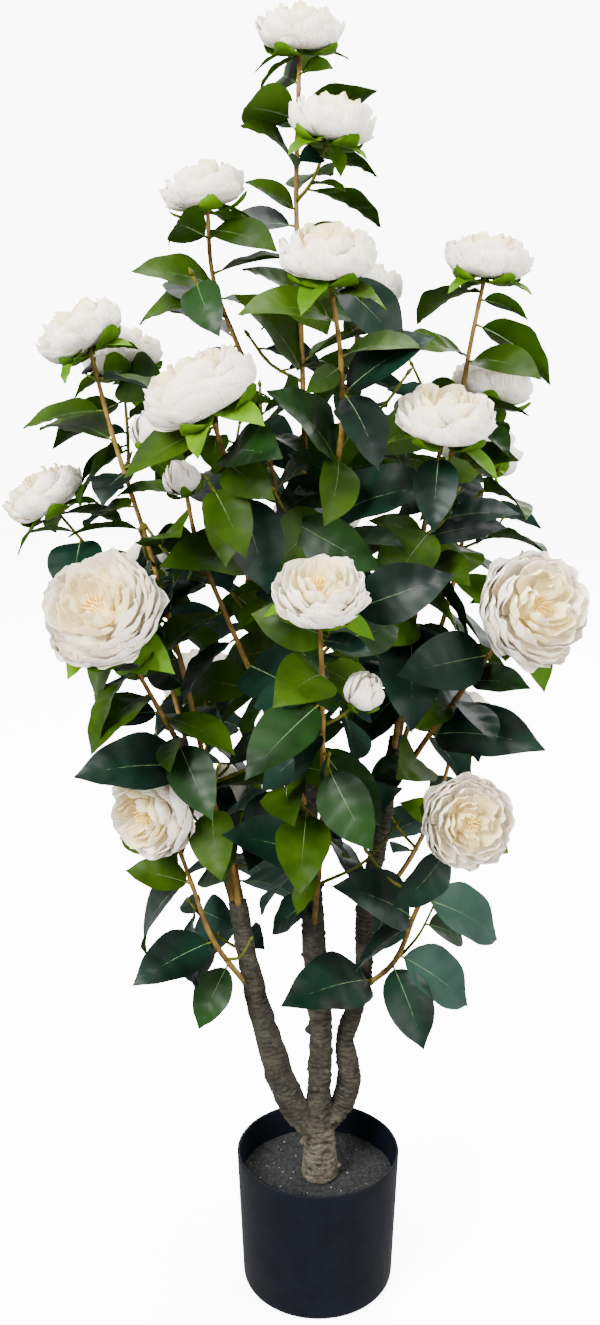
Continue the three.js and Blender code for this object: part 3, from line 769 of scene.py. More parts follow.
class Shape:
    """Points and faces gathered from many surfaces, to be put into one mesh."""

    def __init__(self):
        self.points = []
        self.quads = []
        self.triangles = []
        self.marks = []
        self.count = 0

    def add(self, points, quads=None, triangles=None, mark=0.0):
        """Adds points in millimetres with faces that count from the first of them."""
        flat = np.asarray(points, float).reshape(-1, 3)
        if quads is not None:
            self.quads.append(np.asarray(quads) + self.count)
        if triangles is not None:
            self.triangles.append(np.asarray(triangles) + self.count)
        self.points.append(flat)
        self.marks.append(np.broadcast_to(np.asarray(mark, float).reshape(-1), (len(flat),)))
        self.count += len(flat)

    def add_rings(self, rings, low_pole, high_pole, marks=None):
        """Adds a surface of closed rings of points, with a pole that closes each end. The faces at the
        foot run the other way round, so that they point out too."""
        rows, columns, _ = rings.shape
        count = rows * columns
        foot = fan_faces(0, count, columns)[:, [1, 0, 2]]
        head = fan_faces(count - columns, count + 1, columns)
        points = np.vstack([rings.reshape(-1, 3), [low_pole, high_pole]])
        flat = np.zeros(count) if marks is None else marks.reshape(-1)
        flat = np.concatenate([flat, [flat[0], flat[-1]]])
        self.add(points, grid_faces(rows, columns, closed=True), np.vstack([foot, head]), flat)

    def add_tube(self, line, radii, sides, marks=None):
        """Adds a tube round a line, closed by a pole at each end."""
        self.add_rings(tube_points(line, radii, sides), line[0], line[-1], marks)

    def add_sheets(self, points, thick, back=None, marks=0.0):
        """Adds thin closed blades from grids of points (blade, row, column). The front sheet stands out
        and the back sheet in by `thick`, and both meet at the rim. The back goes to its own shape if one
        is given."""
        blades, rows, columns, _ = points.shape
        marks = np.broadcast_to(marks, (blades, rows, columns))
        inner = np.zeros((rows, columns))
        inner[1:-1, 1:-1] = 1
        push = normals_of(points) * inner[None, :, :, None] * thick
        faces = grid_faces(rows, columns, blades)
        (back or self).add(points - push, faces[:, [0, 3, 2, 1]], mark=marks)
        self.add(points + push, faces, mark=marks)

    def piece(self, name, material, slot, smooth=True, mark_name=None):
        """The mesh object, in metres, that rides on the part."""
        mesh = bpy.data.meshes.new(name)
        points = np.vstack(self.points) * MM
        faces = []
        if self.quads:
            faces += np.vstack(self.quads).tolist()
        if self.triangles:
            faces += np.vstack(self.triangles).tolist()
        mesh.from_pydata(points.tolist(), [], faces)
        mesh.polygons.foreach_set("use_smooth", np.full(len(faces), smooth))
        if mark_name:
            layer = mesh.attributes.new(mark_name, "FLOAT", "POINT")
            layer.data.foreach_set("value", np.concatenate(self.marks).astype(np.float32))
        mesh.materials.append(material)
        mesh.update()
        thing = bpy.data.objects.new(name, mesh)
        bpy.context.scene.collection.objects.link(thing)
        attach(thing, "root")
        return thing


# ---- Materials ----
class Wire:
    """A socket of a shader's nodes that takes arithmetic as a number does."""

    def __init__(self, nodes, socket):
        self.nodes = nodes
        self.socket = socket

    def math(self, operation, *values):
        """One Math node on one or two values."""
        return self.nodes.add("ShaderNodeMath", {"operation": operation}, dict(enumerate(values)))

    def __add__(self, other):
        return self.math("ADD", self, other)

    def __radd__(self, other):
        return self.math("ADD", other, self)

    def __sub__(self, other):
        return self.math("SUBTRACT", self, other)

    def __rsub__(self, other):
        return self.math("SUBTRACT", other, self)

    def __mul__(self, other):
        return self.math("MULTIPLY", self, other)

    def __rmul__(self, other):
        return self.math("MULTIPLY", other, self)

    def size(self):
        """The value without its sign."""
        return self.math("ABSOLUTE", self)

    def between(self, low, high):
        """Smooth rise from 0 at low to 1 at high."""
        settings = {"interpolation_type": "SMOOTHSTEP"}
        inputs = {"Value": self, "From Min": low, "From Max": high}
        return self.nodes.add("ShaderNodeMapRange", settings, inputs, "Result")


class Shader:
    """A material whose nodes are all added by one method."""

    def __init__(self, name, constants):
        self.material = bpy.data.materials.new(name)
        self.material.use_nodes = True
        self.tree = self.material.node_tree
        self.surface = next(node for node in self.tree.nodes if node.type == "BSDF_PRINCIPLED")
        for key, value in (constants or {}).items():
            self.surface.inputs[key].default_value = value

    def add(self, kind, settings=None, inputs=None, output=0):
        """Adds a node with its settings and inputs, and gives one of its outputs as a wire."""
        node = self.tree.nodes.new(kind)
        for key, value in (settings or {}).items():
            setattr(node, key, value)
        for key, value in (inputs or {}).items():
            if isinstance(value, Wire):
                self.tree.links.new(value.socket, node.inputs[key])
            else:
                node.inputs[key].default_value = value
        return Wire(self, node.outputs[output])

    def place(self, x=1.0, y=1.0, z=1.0):
        """Object coordinates in metres, each stretched by its own factor."""
        spot = self.add("ShaderNodeTexCoord", output="Object")
        return self.add("ShaderNodeVectorMath", {"operation": "MULTIPLY"}, {0: spot, 1: (x, y, z)})

    def speckle(self, scale, detail=3.0, roughness=0.55, where=None):
        """Noise from 0 to 1 with that many cells to a metre."""
        inputs = {
            "Vector": where or self.place(),
            "Scale": scale,
            "Detail": detail,
            "Roughness": roughness,
        }
        return self.add("ShaderNodeTexNoise", None, inputs, "Fac")

    def height_above(self, low, high):
        """Height over the floor, as 0 at `low` metres to 1 at `high` metres."""
        apart = self.add("ShaderNodeSeparateXYZ", None, {"Vector": self.place()}, "Z")
        return apart.between(low, high)

    def mark(self, name):
        """A number kept at each point of the mesh."""
        return self.add("ShaderNodeAttribute", {"attribute_name": name}, None, "Fac")

    def streaks(self, name, scale):
        """Noise from 0 to 1 that changes only with a number kept at the points."""
        inputs = {"W": self.mark(name), "Scale": scale, "Detail": 2.0}
        return self.add("ShaderNodeTexNoise", {"noise_dimensions": "1D"}, inputs, "Fac")

    def blend(self, share, first, second):
        """A colour between two others."""
        return self.add("ShaderNodeMix", {"data_type": "RGBA"}, {0: share, 6: first, 7: second}, 2)

    def feed(self, **wires):
        """Joins wires to the surface's inputs."""
        for key, wire in wires.items():
            self.tree.links.new(wire.socket, self.surface.inputs[key.replace("_", " ")])

    def bump(self, height, distance):
        """Feeds a height, from 0 to 1, to the surface's normal."""
        inputs = {"Height": height, "Distance": distance, "Strength": 1.0}
        self.feed(Normal=self.add("ShaderNodeBump", None, inputs, "Normal"))


def colour(text):
    """An opaque colour of six hexadecimal digits as linear numbers."""
    parts = [int(text[i:i + 2], 16) / 255 for i in (0, 2, 4)]
    linear = [part / 12.92 if part <= 0.04045 else ((part + 0.055) / 1.055) ** 2.4 for part in parts]
    return (*linear, 1)


def toned(name, dark, light, scale, rough, relief=0.0, relief_scale=300, constants=None):
    """A material that drifts between two colours and two roughnesses, with a fine relief."""
    shader = Shader(name, constants)
    drift = shader.speckle(scale)
    shader.feed(
        Base_Color=shader.blend(drift.between(0.3, 0.7), colour(dark), colour(light)),
        Roughness=mix(*rough, shader.speckle(scale * 3)),
    )
    if relief:
        shader.bump(shader.speckle(relief_scale, 2.0), relief)
    return shader.material


# ---- Pot and filling ----
HUB = 4  # radius of the innermost ring under the pot and the filling
POT_COLUMNS = 128
FILL_COLUMNS = 160
FILL_RINGS = 56
FIT_GAP = 0.3  # between the filling and the pot


def pot_radius(height):
    """Outer radius of the pot's wall at a height."""
    return mix(POT_BASE_RADIUS, POT_RIM_RADIUS, height / POT_HEIGHT)


def rounded(start, corner, end, steps):
    """Points that round off a corner: a curve that leaves the start and reaches the end along its sides."""
    t = np.linspace(0, 1, steps)[:, None]
    start, corner, end = (np.array(point, float) for point in (start, corner, end))
    return start * (1 - t) ** 2 + corner * 2 * t * (1 - t) + end * t**2


def turned_points(profile, columns):
    """Points of a profile of (radius, height) turned round the upright axis."""
    angle = np.arange(columns) * math.tau / columns
    radius = profile[:, 0, None]
    height = np.broadcast_to(profile[:, 1, None], (len(profile), columns))
    return np.stack([radius * np.cos(angle), radius * np.sin(angle), height], axis=-1)


def make_pot(material):
    """The pot's wall: its outline goes out under the base, up the side, over the rim and down inside."""
    wall = POT_WALL
    top = POT_HEIGHT
    bend = top - wall / 2
    base = pot_radius(0)
    outside = pot_radius(top)
    inside = outside - wall
    crest = (outside - wall / 2, top)
    heights = np.linspace(POT_CORNER, bend, 12)[1:-1]
    profile = np.vstack([
        [[HUB, 0], [base * 0.5, 0]],
        rounded((base - POT_CORNER, 0), (base, 0), (pot_radius(POT_CORNER), POT_CORNER), 8),
        np.column_stack([pot_radius(heights), heights]),
        rounded((pot_radius(bend), bend), (outside, top), crest, 5),
        rounded(crest, (inside, top), (inside, bend), 5)[1:],
        [[pot_radius(level) - wall, level] for level in (FILL_TOP, POT_FLOOR)],
        [[HUB, POT_FLOOR]],
    ])
    shape = Shape()
    shape.add_rings(turned_points(profile, POT_COLUMNS), (0, 0, 0), (0, 0, POT_FLOOR))
    return shape.piece("pot_wall", material, "pot")


def make_filling(material):
    """The filling: a plug whose top rises and falls by two sizes of noise."""
    low = POT_FLOOR + FIT_GAP
    level = FILL_TOP - 0.6
    radius = pot_radius(FILL_TOP) - POT_WALL - FIT_GAP
    foot = pot_radius(POT_FLOOR) - POT_WALL - FIT_GAP
    radii = np.linspace(radius, 1.5, FILL_RINGS)
    side = [[HUB, low], [foot, low], [radius, FILL_TOP - 4]]
    profile = np.vstack([side, np.column_stack([radii, np.full(FILL_RINGS, level)])])
    points = turned_points(profile, FILL_COLUMNS)
    top = points[len(side):]
    top[..., 2] += 1.6 * (noise(top, 11) - 0.5) + 1.3 * (noise(top, 3.1, 4.0) - 0.5)
    shape = Shape()
    shape.add_rings(points, (0, 0, low), (0, 0, level))
    return shape.piece("filling_top", material, "filling")


def make_crumbs(name, count, seed, size, material):
    """Small eight-faced crumbs strewn evenly over the filling, with their six corners pushed about."""
    number = np.arange(count)
    angle = number * math.radians(GOLDEN_ANGLE) + chances(count, seed, 1)
    reach = pot_radius(FILL_TOP) - POT_WALL - 4
    bare = 0.3  # share of the reach that the trunk's foot covers
    out = np.sqrt(mix(bare**2, 1.0, (number + chances(count, seed, 2)) / (count + 1))) * reach
    middle = np.stack([out * np.cos(angle), out * np.sin(angle), np.full(count, FILL_TOP - 0.2)], axis=-1)
    corners = np.array([(1, 0, 0), (0, 1, 0), (-1, 0, 0), (0, -1, 0), (0, 0, 1), (0, 0, -1)], float)
    radius = size * mix(0.5, 1.3, chances(count, seed, 3))
    push = chances(count * 18, seed, 4).reshape(count, 6, 3) - 0.5
    points = middle[:, None] + radius[:, None, None] * (corners[None] + 0.8 * push)
    ring = np.arange(4)
    faces = np.vstack([
        np.stack([ring, (ring + 1) % 4, np.full(4, 4)], axis=-1),
        np.stack([(ring + 1) % 4, ring, np.full(4, 5)], axis=-1),
    ])
    shape = Shape()
    shape.add(points, triangles=(faces[None] + 6 * number[:, None, None]).reshape(-1, 3))
    shape.piece(name, material, "filling", smooth=False)


# ---- Bark ----
BARK_SIDES = 56
LUMP_HEIGHT = 2.6
GRAIN_HEIGHT = 0.8
BURR_HEIGHT = 2.4
BURR_REACH = 50  # how far above and below the fork the burr goes
BARK_END = 3  # length over which a limb's end is rounded


def limb_line(name):
    """Points at an even spacing along a limb's axis, with the distance passed and the radius at each."""
    rows = np.array(LIMBS[name], float)
    shares = np.linspace(0, 1, 1501)
    passed = np.concatenate([[0], np.cumsum(steps_of(curve_through(rows[:, :3], shares)))])
    place = np.linspace(0, passed[-1], int(passed[-1] / BARK_PITCH))
    even = np.interp(place, passed, shares)
    radius = np.interp(even * (len(rows) - 1), np.arange(len(rows)), rows[:, 3])
    return curve_through(rows[:, :3], even), place, radius


def knob_relief(seed, place, radius):
    """Round knobs set along a limb by the golden angle: how high they stand, and a painted shade for the
    ring round each of them, as the share of light left there."""
    angle = np.arange(BARK_SIDES) * math.tau / BARK_SIDES
    knobs = np.zeros((len(place), BARK_SIDES))
    knob_ring_shade = np.ones((len(place), BARK_SIDES))
    for i in range(1, int(place[-1] / KNOB_PITCH)):
        middle = (i + 0.5 * chance(seed, i, 3)) * KNOB_PITCH
        turn = math.radians(i * GOLDEN_ANGLE)
        around = radius[:, None] * (np.mod(angle[None] - turn + math.pi, math.tau) - math.pi)
        size = mix(2.0, 3.8, chance(seed, i, 4))
        height = mix(0.2, 1.0, chance(seed, i, 5) ** 1.5)
        away = np.hypot(place[:, None] - middle, around) / size
        knobs = np.maximum(knobs, height * np.exp(-(away**4)))
        # Painted shade: a darker ring round the foot of each knob, where its shadow would fall.
        knob_ring_shade = np.minimum(knob_ring_shade, 1 - height * np.exp(-(((away - 1.25) / 0.3) ** 2)))
    return knobs, knob_ring_shade


def make_bark(name, material, knob_height, ring_depth, ring_pitch):
    """A limb as a tube whose radius takes the bark's relief.

    The relief adds broad lumps, fine grain, a burr at the fork, uneven grooves that run round the limb at
    `ring_pitch`, and round knobs. The same fields give a painted shade that the bark's colour follows:
    darker in the grooves and in a ring round each knob, lighter on the lumps, the burr and the knobs.
    """
    line, place, radius = limb_line(name)
    points = tube_points(line, radius, BARK_SIDES)
    lumps = noise(points, 10) - 0.5
    grain = noise(points, 2.0, 2.0) - 0.5
    phase = math.pi * place[:, None] / ring_pitch + 4 * noise(points, 16, 3.0) + noise(points, 5, 6.0)
    groove = np.exp(-((np.sin(phase) / 0.5) ** 2)) * np.clip(2.4 * noise(points, 8, 9.0) - 0.5, 0, 1)
    knobs, knob_ring_shade = knob_relief(len(name), place, radius)
    near_fork = np.clip(1 - np.abs(points[..., 2] - FORK_LEVEL) / BURR_REACH, 0, 1)
    burr = near_fork * (noise(points, 4.5, 5.0) - 0.5)
    relief = LUMP_HEIGHT * lumps + GRAIN_HEIGHT * grain + BURR_HEIGHT * burr
    relief = relief - ring_depth * groove + knob_height * knobs
    short = 1 - np.clip((place[-1] - place) / BARK_END, 0, 1)
    round_end = np.sqrt(np.clip(1 - short**2, 0.02, 1))
    radii = (radius[:, None] + relief) * round_end[:, None]
    # Painted shade and painted highlight: darker in the grooves and round the knobs, lighter on lumps, burr
    # and knobs; the grain part is the bark's own texture.
    shade = 0.6 + 0.4 * lumps + 0.3 * grain + 0.4 * burr - 0.4 * groove * min(ring_depth, 1.0)
    shade = (shade + 0.3 * knobs * min(knob_height, 1.0)) * mix(1.0, knob_ring_shade, 0.6)
    shape = Shape()
    shape.add_tube(line, radii, BARK_SIDES, np.clip(shade, 0, 1))
    # The painted shade is kept at the points under the name relief.
    piece = shape.piece(f"{name}_bark", material, "bark", mark_name="relief")
    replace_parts(piece, name)


# ---- Stems and twigs ----
def shoot_tube(shape, growth, sides, pitch):
    """Adds a shoot as a tube that narrows evenly and has a slight swelling for each LEAF_PITCH."""
    count = max(int(growth["length"] / pitch), 4)
    shares = np.linspace(0, 1, count)
    line = curve_through(growth["points"], shares)
    away = np.mod(shares * growth["length"], LEAF_PITCH) - LEAF_PITCH / 2
    swell = 1 + 0.2 * np.exp(-((away / 2.5) ** 2))
    shape.add_tube(line, SHOOT_SHARE * mix(growth["root"], growth["tip"], shares) * swell, sides)


def add_spindle(shape, start, end, radii, sides=8):
    """Adds a short closed tube between two points, with a list of radii along it."""
    line = mix(np.asarray(start)[None], np.asarray(end)[None], np.linspace(0, 1, len(radii))[:, None])
    shape.add_tube(line, radii, sides)


# ---- Leaves ----
BLADE_ROWS = np.concatenate([[0, 0.02, 0.06, 0.11], np.linspace(0.17, 1, 13)])
BLADE_COLUMNS = np.array([-1, -0.55, 0, 0.55, 1])
VEIN_SWEEP = 0.55  # how far the rows run forward on their way from the rib to the edge
EDGE_WAVE = 1.4  # height of the waves of the edge, on a full leaf
VEIN_RELIEF = 1.1  # height of the relief between the side veins, on a full leaf
RIB_SHARES = np.linspace(BLADE_FOOT * 0.9, 0.93, 9)  # places along the leaf where the rib has its rings


def blade_outline(rows):
    """Half width of a blade from its foot to its tip: round at the foot, drawn out to a narrow tip."""
    wide = np.sin(math.pi * rows**0.75) ** 0.85
    tip = np.clip((rows - 0.75) / 0.25, 0, 1)
    return np.maximum(wide * (1 - 0.3 * tip * tip * (3 - 2 * tip)), 0.012)


def add_leaves(shapes, leaves, front, back):
    """Adds the front and back sheets of many leaves, with their middle ribs and stalks."""
    table = leaf_array(leaves)
    rows = BLADE_ROWS[:, None]
    rows = rows + VEIN_SWEEP * np.abs(BLADE_COLUMNS) * rows * (1 - rows)
    shares = mix(BLADE_FOOT, 1.0, rows)
    points = blade_points(
        table, shares, BLADE_COLUMNS, blade_outline(rows), edge_wave=EDGE_WAVE, veins=VEIN_RELIEF)
    shapes[front].add_sheets(points, BLADE_THICK, shapes[back])
    middle = blade_points(table, RIB_SHARES, [0], [0.0])[:, :, 0]
    add_ribs(shapes["leaf_ribs"], table, middle)
    for base, first, second in zip(table["base"], middle[:, 0], middle[:, 1]):
        shapes["leaf_stalks"].add_tube(np.stack([base, first, mix(first, second, 0.4)]), [1.3, 1.0, 0.8], 5)


def add_ribs(shape, table, middle):
    """Adds narrow four-sided bars along the middle lines of leaves, a quarter flatter than wide."""
    leaves, rows, _ = middle.shape
    side = np.cross(table["dir"], table["face"])[:, None]
    turn = table["droop"][:, None, None] * RIB_SHARES[None, :, None]
    normal = table["face"][:, None] * np.cos(turn) + table["dir"][:, None] * np.sin(turn)
    narrowing = mix(0.95, 0.25, np.linspace(0, 1, rows))
    radius = (narrowing[None] * np.sqrt(table["length"] / FULL_LEAF)[:, None])[..., None]
    high = normal * radius * 0.75
    wide = side * radius
    rings = np.stack([middle + high, middle + wide, middle - high, middle - wide], axis=2)
    starts = np.arange(leaves)[:, None] * rows * 4
    ring = np.arange(4)
    caps = np.vstack([starts + ring[::-1], starts + (rows - 1) * 4 + ring])
    shape.add(rings, np.vstack([grid_faces(rows, 4, leaves, closed=True), caps]))


# ---- Flowers ----
# A ring of petals, in shares of the flower's radius: how many, their foot, two handles and tip as
# (out, up), half width, and depth of the ruffles.
def open_ring(share):
    """The ring of an open flower at that share of the way in from the rim, its tips on a low dome."""
    rise = math.radians(mix(-14, 82, share))
    tip = (0.96 * math.cos(rise), 0.03 + 0.42 * math.sin(rise))
    shoulder = (tip[0] + 0.06 * math.sin(rise), tip[1] - mix(0.26, 0.12, share))
    low = (0.86 * math.cos(rise) + 0.08, mix(-0.6, 0.05, share**1.3))
    foot = (0.05, mix(-0.5, -0.1, share))
    return (round(mix(6, 4, share)), foot, low, shoulder, tip, 0.14 + 0.6 * math.cos(rise), 0.034)


SKIRT_RING = (5, (0.05, -0.5), (0.5, -0.58), (0.84, -0.46), (1.0, -0.22), 0.76, 0.04)
OPEN_RINGS = [SKIRT_RING] + [open_ring(share) for share in np.linspace(0, 0.9, 10)]
BUD_RINGS = [
    (5, (0.08, -0.82), (0.95, -0.72), (1.15, -0.1), (0.72, 0.5), 0.8, 0.02),
    (5, (0.06, -0.78), (0.85, -0.56), (0.95, 0.2), (0.42, 0.78), 0.7, 0.03),
    (4, (0.06, -0.7), (0.65, -0.3), (0.65, 0.4), (0.14, 0.9), 0.55, 0.03),
]
OPEN_SEPALS = [(4, (0.06, -0.54), (0.45, -0.74), (0.82, -0.68), (0.93, -0.36), 0.5, 0.02)]
BUD_SEPALS = [(4, (0.08, -0.92), (0.6, -1.0), (0.95, -0.8), (0.95, -0.36), 0.5, 0.02)]
STAMENS = 22  # in each open flower
PETAL_ROWS = np.array([0, 0.2, 0.4, 0.6, 0.78, 0.9, 1.0])
PETAL_COLUMNS = np.array([-1, -0.84, -0.64, -0.43, -0.21, 0, 0.21, 0.43, 0.64, 0.84, 1])
PETALS_APART = 3  # step between the marks of neighbouring petals, wider than those on one petal
RINGS_APART = 7  # step between the marks of neighbouring rings
RING_SEED = 0.61  # step between the seeds of neighbouring rings
NECK_LAP = 6  # length by which a calyx goes over the end of the shoot


def flower_frame(bloom):
    """Unit vectors of a flower: the way it faces and two square to it."""
    axis = facing(bloom)
    side = side_of(axis)
    return axis, side, np.cross(axis, side)


def petal_points(bloom, ring, seed):
    """Points of a ring of petals, by petal, row and column.

    A petal's middle line is the cubic curve from its foot by two handles to its tip, in a plane through
    the flower's axis. It widens from the foot as a fan does, and its rows stop short towards the sides,
    so that the rim is round. Across, it wraps round the axis and has pleats, one edge stands out over the
    next petal and the other lies under the last, and its rim has ruffles.
    """
    count, foot, low, shoulder, tip, half, ruffle = ring
    draws = [chances(count, seed, draw)[:, None, None] for draw in range(9)]
    turn = (np.arange(count) / count * math.tau)[:, None, None] + seed * 2.4 + 0.35 * (draws[0] - 0.5)
    share = PETAL_ROWS[None, :, None]
    place = PETAL_COLUMNS[None, None, :]
    rim = 1 - 0.3 * np.abs(place) ** 2.2 - 0.015 * np.cos(5 * place + 6 * draws[1])
    along = share * rim
    rest = 1 - along
    weights = (rest**3, 3 * along * rest**2, 3 * along**2 * rest, along**3)
    spots = (foot, low, shoulder, tip)
    out, up = (sum(weight * spot[k] for weight, spot in zip(weights, spots)) for k in (0, 1))
    out = out * (1 + 0.14 * along * (draws[2] - 0.6))
    up = up + 0.12 * along**2 * (draws[3] - 0.5)
    wide = half * (1 + 0.2 * (draws[4] - 0.5)) * share**0.55 * (1 - 0.28 * share**5)
    reach = place * wide
    angle = turn + reach / (out + 0.12) + 0.2 * (draws[8] - 0.5) * share
    out = out * (1 + 0.06 * place - 0.04 * place**2)
    crimp = np.sin(5.5 * place + 9 * draws[5]) + 0.25 * np.sin(10 * place + 9 * draws[6])
    pleat = np.sin(12 * place + 9 * draws[7])
    out = out + ruffle * share**3 * crimp + 0.012 * share * pleat
    up = up + 0.25 * ruffle * share**3 * np.sin(8 * place + 9 * draws[7])
    axis, side, front = flower_frame(bloom)
    radius = bloom["width"] / 2
    spot = side * (out * np.cos(angle))[..., None] + front * (out * np.sin(angle))[..., None]
    return bloom["at"] + radius * (spot + axis * up[..., None])


def add_petals(shape, bloom, rings, seed, thick=PETAL_THICK):
    """Adds rings of petals as thin closed blades, marked with the place across, apart for each petal."""
    for i, ring in enumerate(rings):
        marks = PETALS_APART * np.arange(ring[0])[:, None, None] + RINGS_APART * i + PETAL_COLUMNS
        shape.add_sheets(petal_points(bloom, ring, seed + RING_SEED * i), thick, marks=marks)


def add_stamens(shape, bloom):
    """Adds thin spindles that spread from the flower's heart, thickest near their tips."""
    axis, side, front = flower_frame(bloom)
    radius = bloom["width"] / 2
    for i in range(STAMENS):
        turn = math.radians(GOLDEN_ANGLE * i)
        lean = math.sqrt((i + 0.5) / STAMENS)
        out = side * math.cos(turn) + front * math.sin(turn)
        foot = bloom["at"] + radius * (out * 0.05 * lean - axis * 0.15)
        tip = bloom["at"] + radius * (out * 0.2 * lean + axis * (0.3 - 0.08 * lean))
        add_spindle(shape, foot, tip, [0.8, 0.5, 0.5, 1.1, 0.4], 5)


def leaflets_of(bloom, seed):
    """Small pointed leaves that spread from the neck of a flower."""
    neck = neck_of(bloom)
    axis, side, front = flower_frame(bloom)
    made = []
    for i in range(3):
        compass = math.radians(120 * i + 90 * chance(seed, i, 1))
        out = side * math.cos(compass) + front * math.sin(compass)
        direction = unit(out + axis * mix(-0.3, 0.1, chance(seed, i, 2)))
        length = bloom["width"] * mix(0.55, 0.75, chance(seed, i, 3))
        made.append({
            "base": neck - axis * 3 * i,
            "dir": direction,
            "face": unit(axis - direction * np.dot(axis, direction)),
            "length": length,
            "width": length * 0.46,
            "droop": mix(0.3, 0.7, chance(seed, i, 4)),
        })
    return made


def add_open_flower(shapes, bloom, seed):
    """Adds an open flower: petals in three shades, a core, stamens, sepals, a calyx and leaflets."""
    axis = facing(bloom)
    middle = bloom["at"]
    radius = bloom["width"] / 2
    add_petals(shapes["petals_outer"], bloom, OPEN_RINGS[:4], seed)
    add_petals(shapes["petals_inner"], bloom, OPEN_RINGS[4:8], seed + 0.5)
    add_petals(shapes["petals_heart"], bloom, OPEN_RINGS[8:], seed + 0.9)
    core = radius * np.array([0.12, 0.3, 0.28, 0.2, 0.05])
    add_spindle(shapes["petals_heart"], middle - axis * radius * 0.3, middle + axis * radius * 0.1, core)
    add_stamens(shapes["stamens"], bloom)
    add_petals(shapes["sepals"], bloom, OPEN_SEPALS, seed, SEPAL_THICK)
    calyx = [2.1, 2.6, 4.5, 8, 9]
    add_spindle(shapes["sepals"], neck_of(bloom) - axis * NECK_LAP, middle - axis * radius * 0.4, calyx)
    add_leaves(shapes, leaflets_of(bloom, seed), "sepals", "sepals")


def add_bud(shapes, bloom, seed):
    """Adds a bud: closed petals, sepals and a narrow calyx."""
    axis = facing(bloom)
    base = bloom["at"] - axis * 0.7 * bloom["width"] / 2
    add_petals(shapes["petals_outer"], bloom, BUD_RINGS[:1], seed)
    add_petals(shapes["petals_inner"], bloom, BUD_RINGS[1:], seed)
    add_petals(shapes["sepals"], bloom, BUD_SEPALS, seed, SEPAL_THICK)
    add_spindle(shapes["sepals"], neck_of(bloom) - axis * NECK_LAP, base, [2.1, 2.6, 4, 6, 5])


# ---- Finishes ----
def bark_finish():
    """Bark: grey-brown, paler at the foot, with near black fine level cracks, and painted shade from the
    relief mark: near black in the grooves and round the knobs, lighter on the lumps.
    """
    shader = Shader("bark", {"Specular IOR Level": 0.18})
    grain = shader.speckle(420, 4.0)
    ripple = shader.speckle(60, 4.0, 0.6, shader.place(1, 1, 5))
    crack = (ripple - 0.5).size().between(0.0, 0.05)
    # Painted shade: the relief mark carries light and shade from the bark's relief; the colour runs from
    # near black where it is darkest to the lit colour where it is lightest.
    height = (shader.mark("relief") + (grain - 0.5) * 0.3).between(0.1, 0.8) * (crack * 0.6 + 0.4)
    drift = shader.speckle(50)
    low = 1 - shader.height_above(0.14, 0.2)
    lit = shader.blend(low, shader.blend(drift, colour("323125"), colour("2b251e")), colour("595245"))
    shader.feed(
        Base_Color=shader.blend(height, colour("0c0a07"), lit),
        Roughness=mix(0.75, 0.95, grain),
    )
    shader.bump(crack * 0.6 + grain * 0.4, 0.0006)
    return shader.material


# Constants of the surfaces: how much they shine, and for petals how light spreads inside them.
DULL = {"Specular IOR Level": 0.07}
GLOSS = {"Specular IOR Level": 0.1}
SOFT = {
    "Specular IOR Level": 0.1,
    "Subsurface Weight": 0.3,
    "Subsurface Scale": 0.008,
    "Subsurface Radius": (1.0, 1.0, 1.0),
}


def petal_finish(name, dark, light):
    """Petals: one colour that drifts a little, and fine raised lines that run from the foot to the rim."""
    shader = Shader(name, SOFT)
    shader.feed(
        Base_Color=shader.blend(shader.speckle(50).between(0.3, 0.7), colour(dark), colour(light)),
        Roughness=mix(0.7, 0.85, shader.speckle(120)),
    )
    shader.bump(shader.streaks("across", 14).between(0.3, 0.65), 0.0005)
    return shader.material


# Name, dark and light colour, cells of the drift to a metre, least and greatest roughness, and, where there
# is a relief, its depth in metres and its own cells to a metre.
pot_finish = toned("pot", "04050a", "060910", 40, (0.5, 0.6), 0.0003, 1400, DULL)
filling_finish = toned("filling", "18191a", "272828", 260, (0.85, 0.98), 0.001, 600, DULL)
crumb_finish = toned("crumbs", "1d1d1b", "302d2a", 300, (0.85, 0.98), constants=DULL)
pale_crumb_finish = toned("pale_crumbs", "5f5951", "817c6d", 300, (0.85, 0.98))
stem_finish = toned("stems", "4a3919", "6f572a", 70, (0.55, 0.7), 0.0004, 500, DULL)
shoot_finish = toned("shoots", "383f0c", "504f18", 70, (0.5, 0.65), constants=DULL)
deep_finish = toned("leaf_deep", "010704", "071c12", 18, (0.36, 0.5), constants=GLOSS)
mid_finish = toned("leaf_mid", "041202", "102808", 18, (0.36, 0.5), constants=GLOSS)
bright_finish = toned("leaf_bright", "102100", "243901", 18, (0.42, 0.56), constants=DULL)
pale_finish = toned("leaf_pale", "172a24", "243d32", 14, (0.4, 0.55), constants=GLOSS)
back_finish = toned("leaf_back", "182f00", "274003", 14, (0.55, 0.7), constants=DULL)
grey_back_finish = toned("leaf_back_grey", "1a3128", "284136", 14, (0.55, 0.7), constants=DULL)
rib_finish = toned("ribs", "415636", "607653", 40, (0.5, 0.65), constants=DULL)
sepal_finish = toned("sepals", "2d4c00", "436501", 30, (0.5, 0.65), constants=DULL)
outer_finish = petal_finish("petals_outer", "f9efdc", "fffaee")
inner_finish = petal_finish("petals_inner", "f9ebce", "fff7e2")
stamen_finish = toned("stamens", "cfa63a", "ecd277", 300, (0.7, 0.85), constants=DULL)
heart_finish = petal_finish("petals_heart", "f8e09c", "fff0bc")

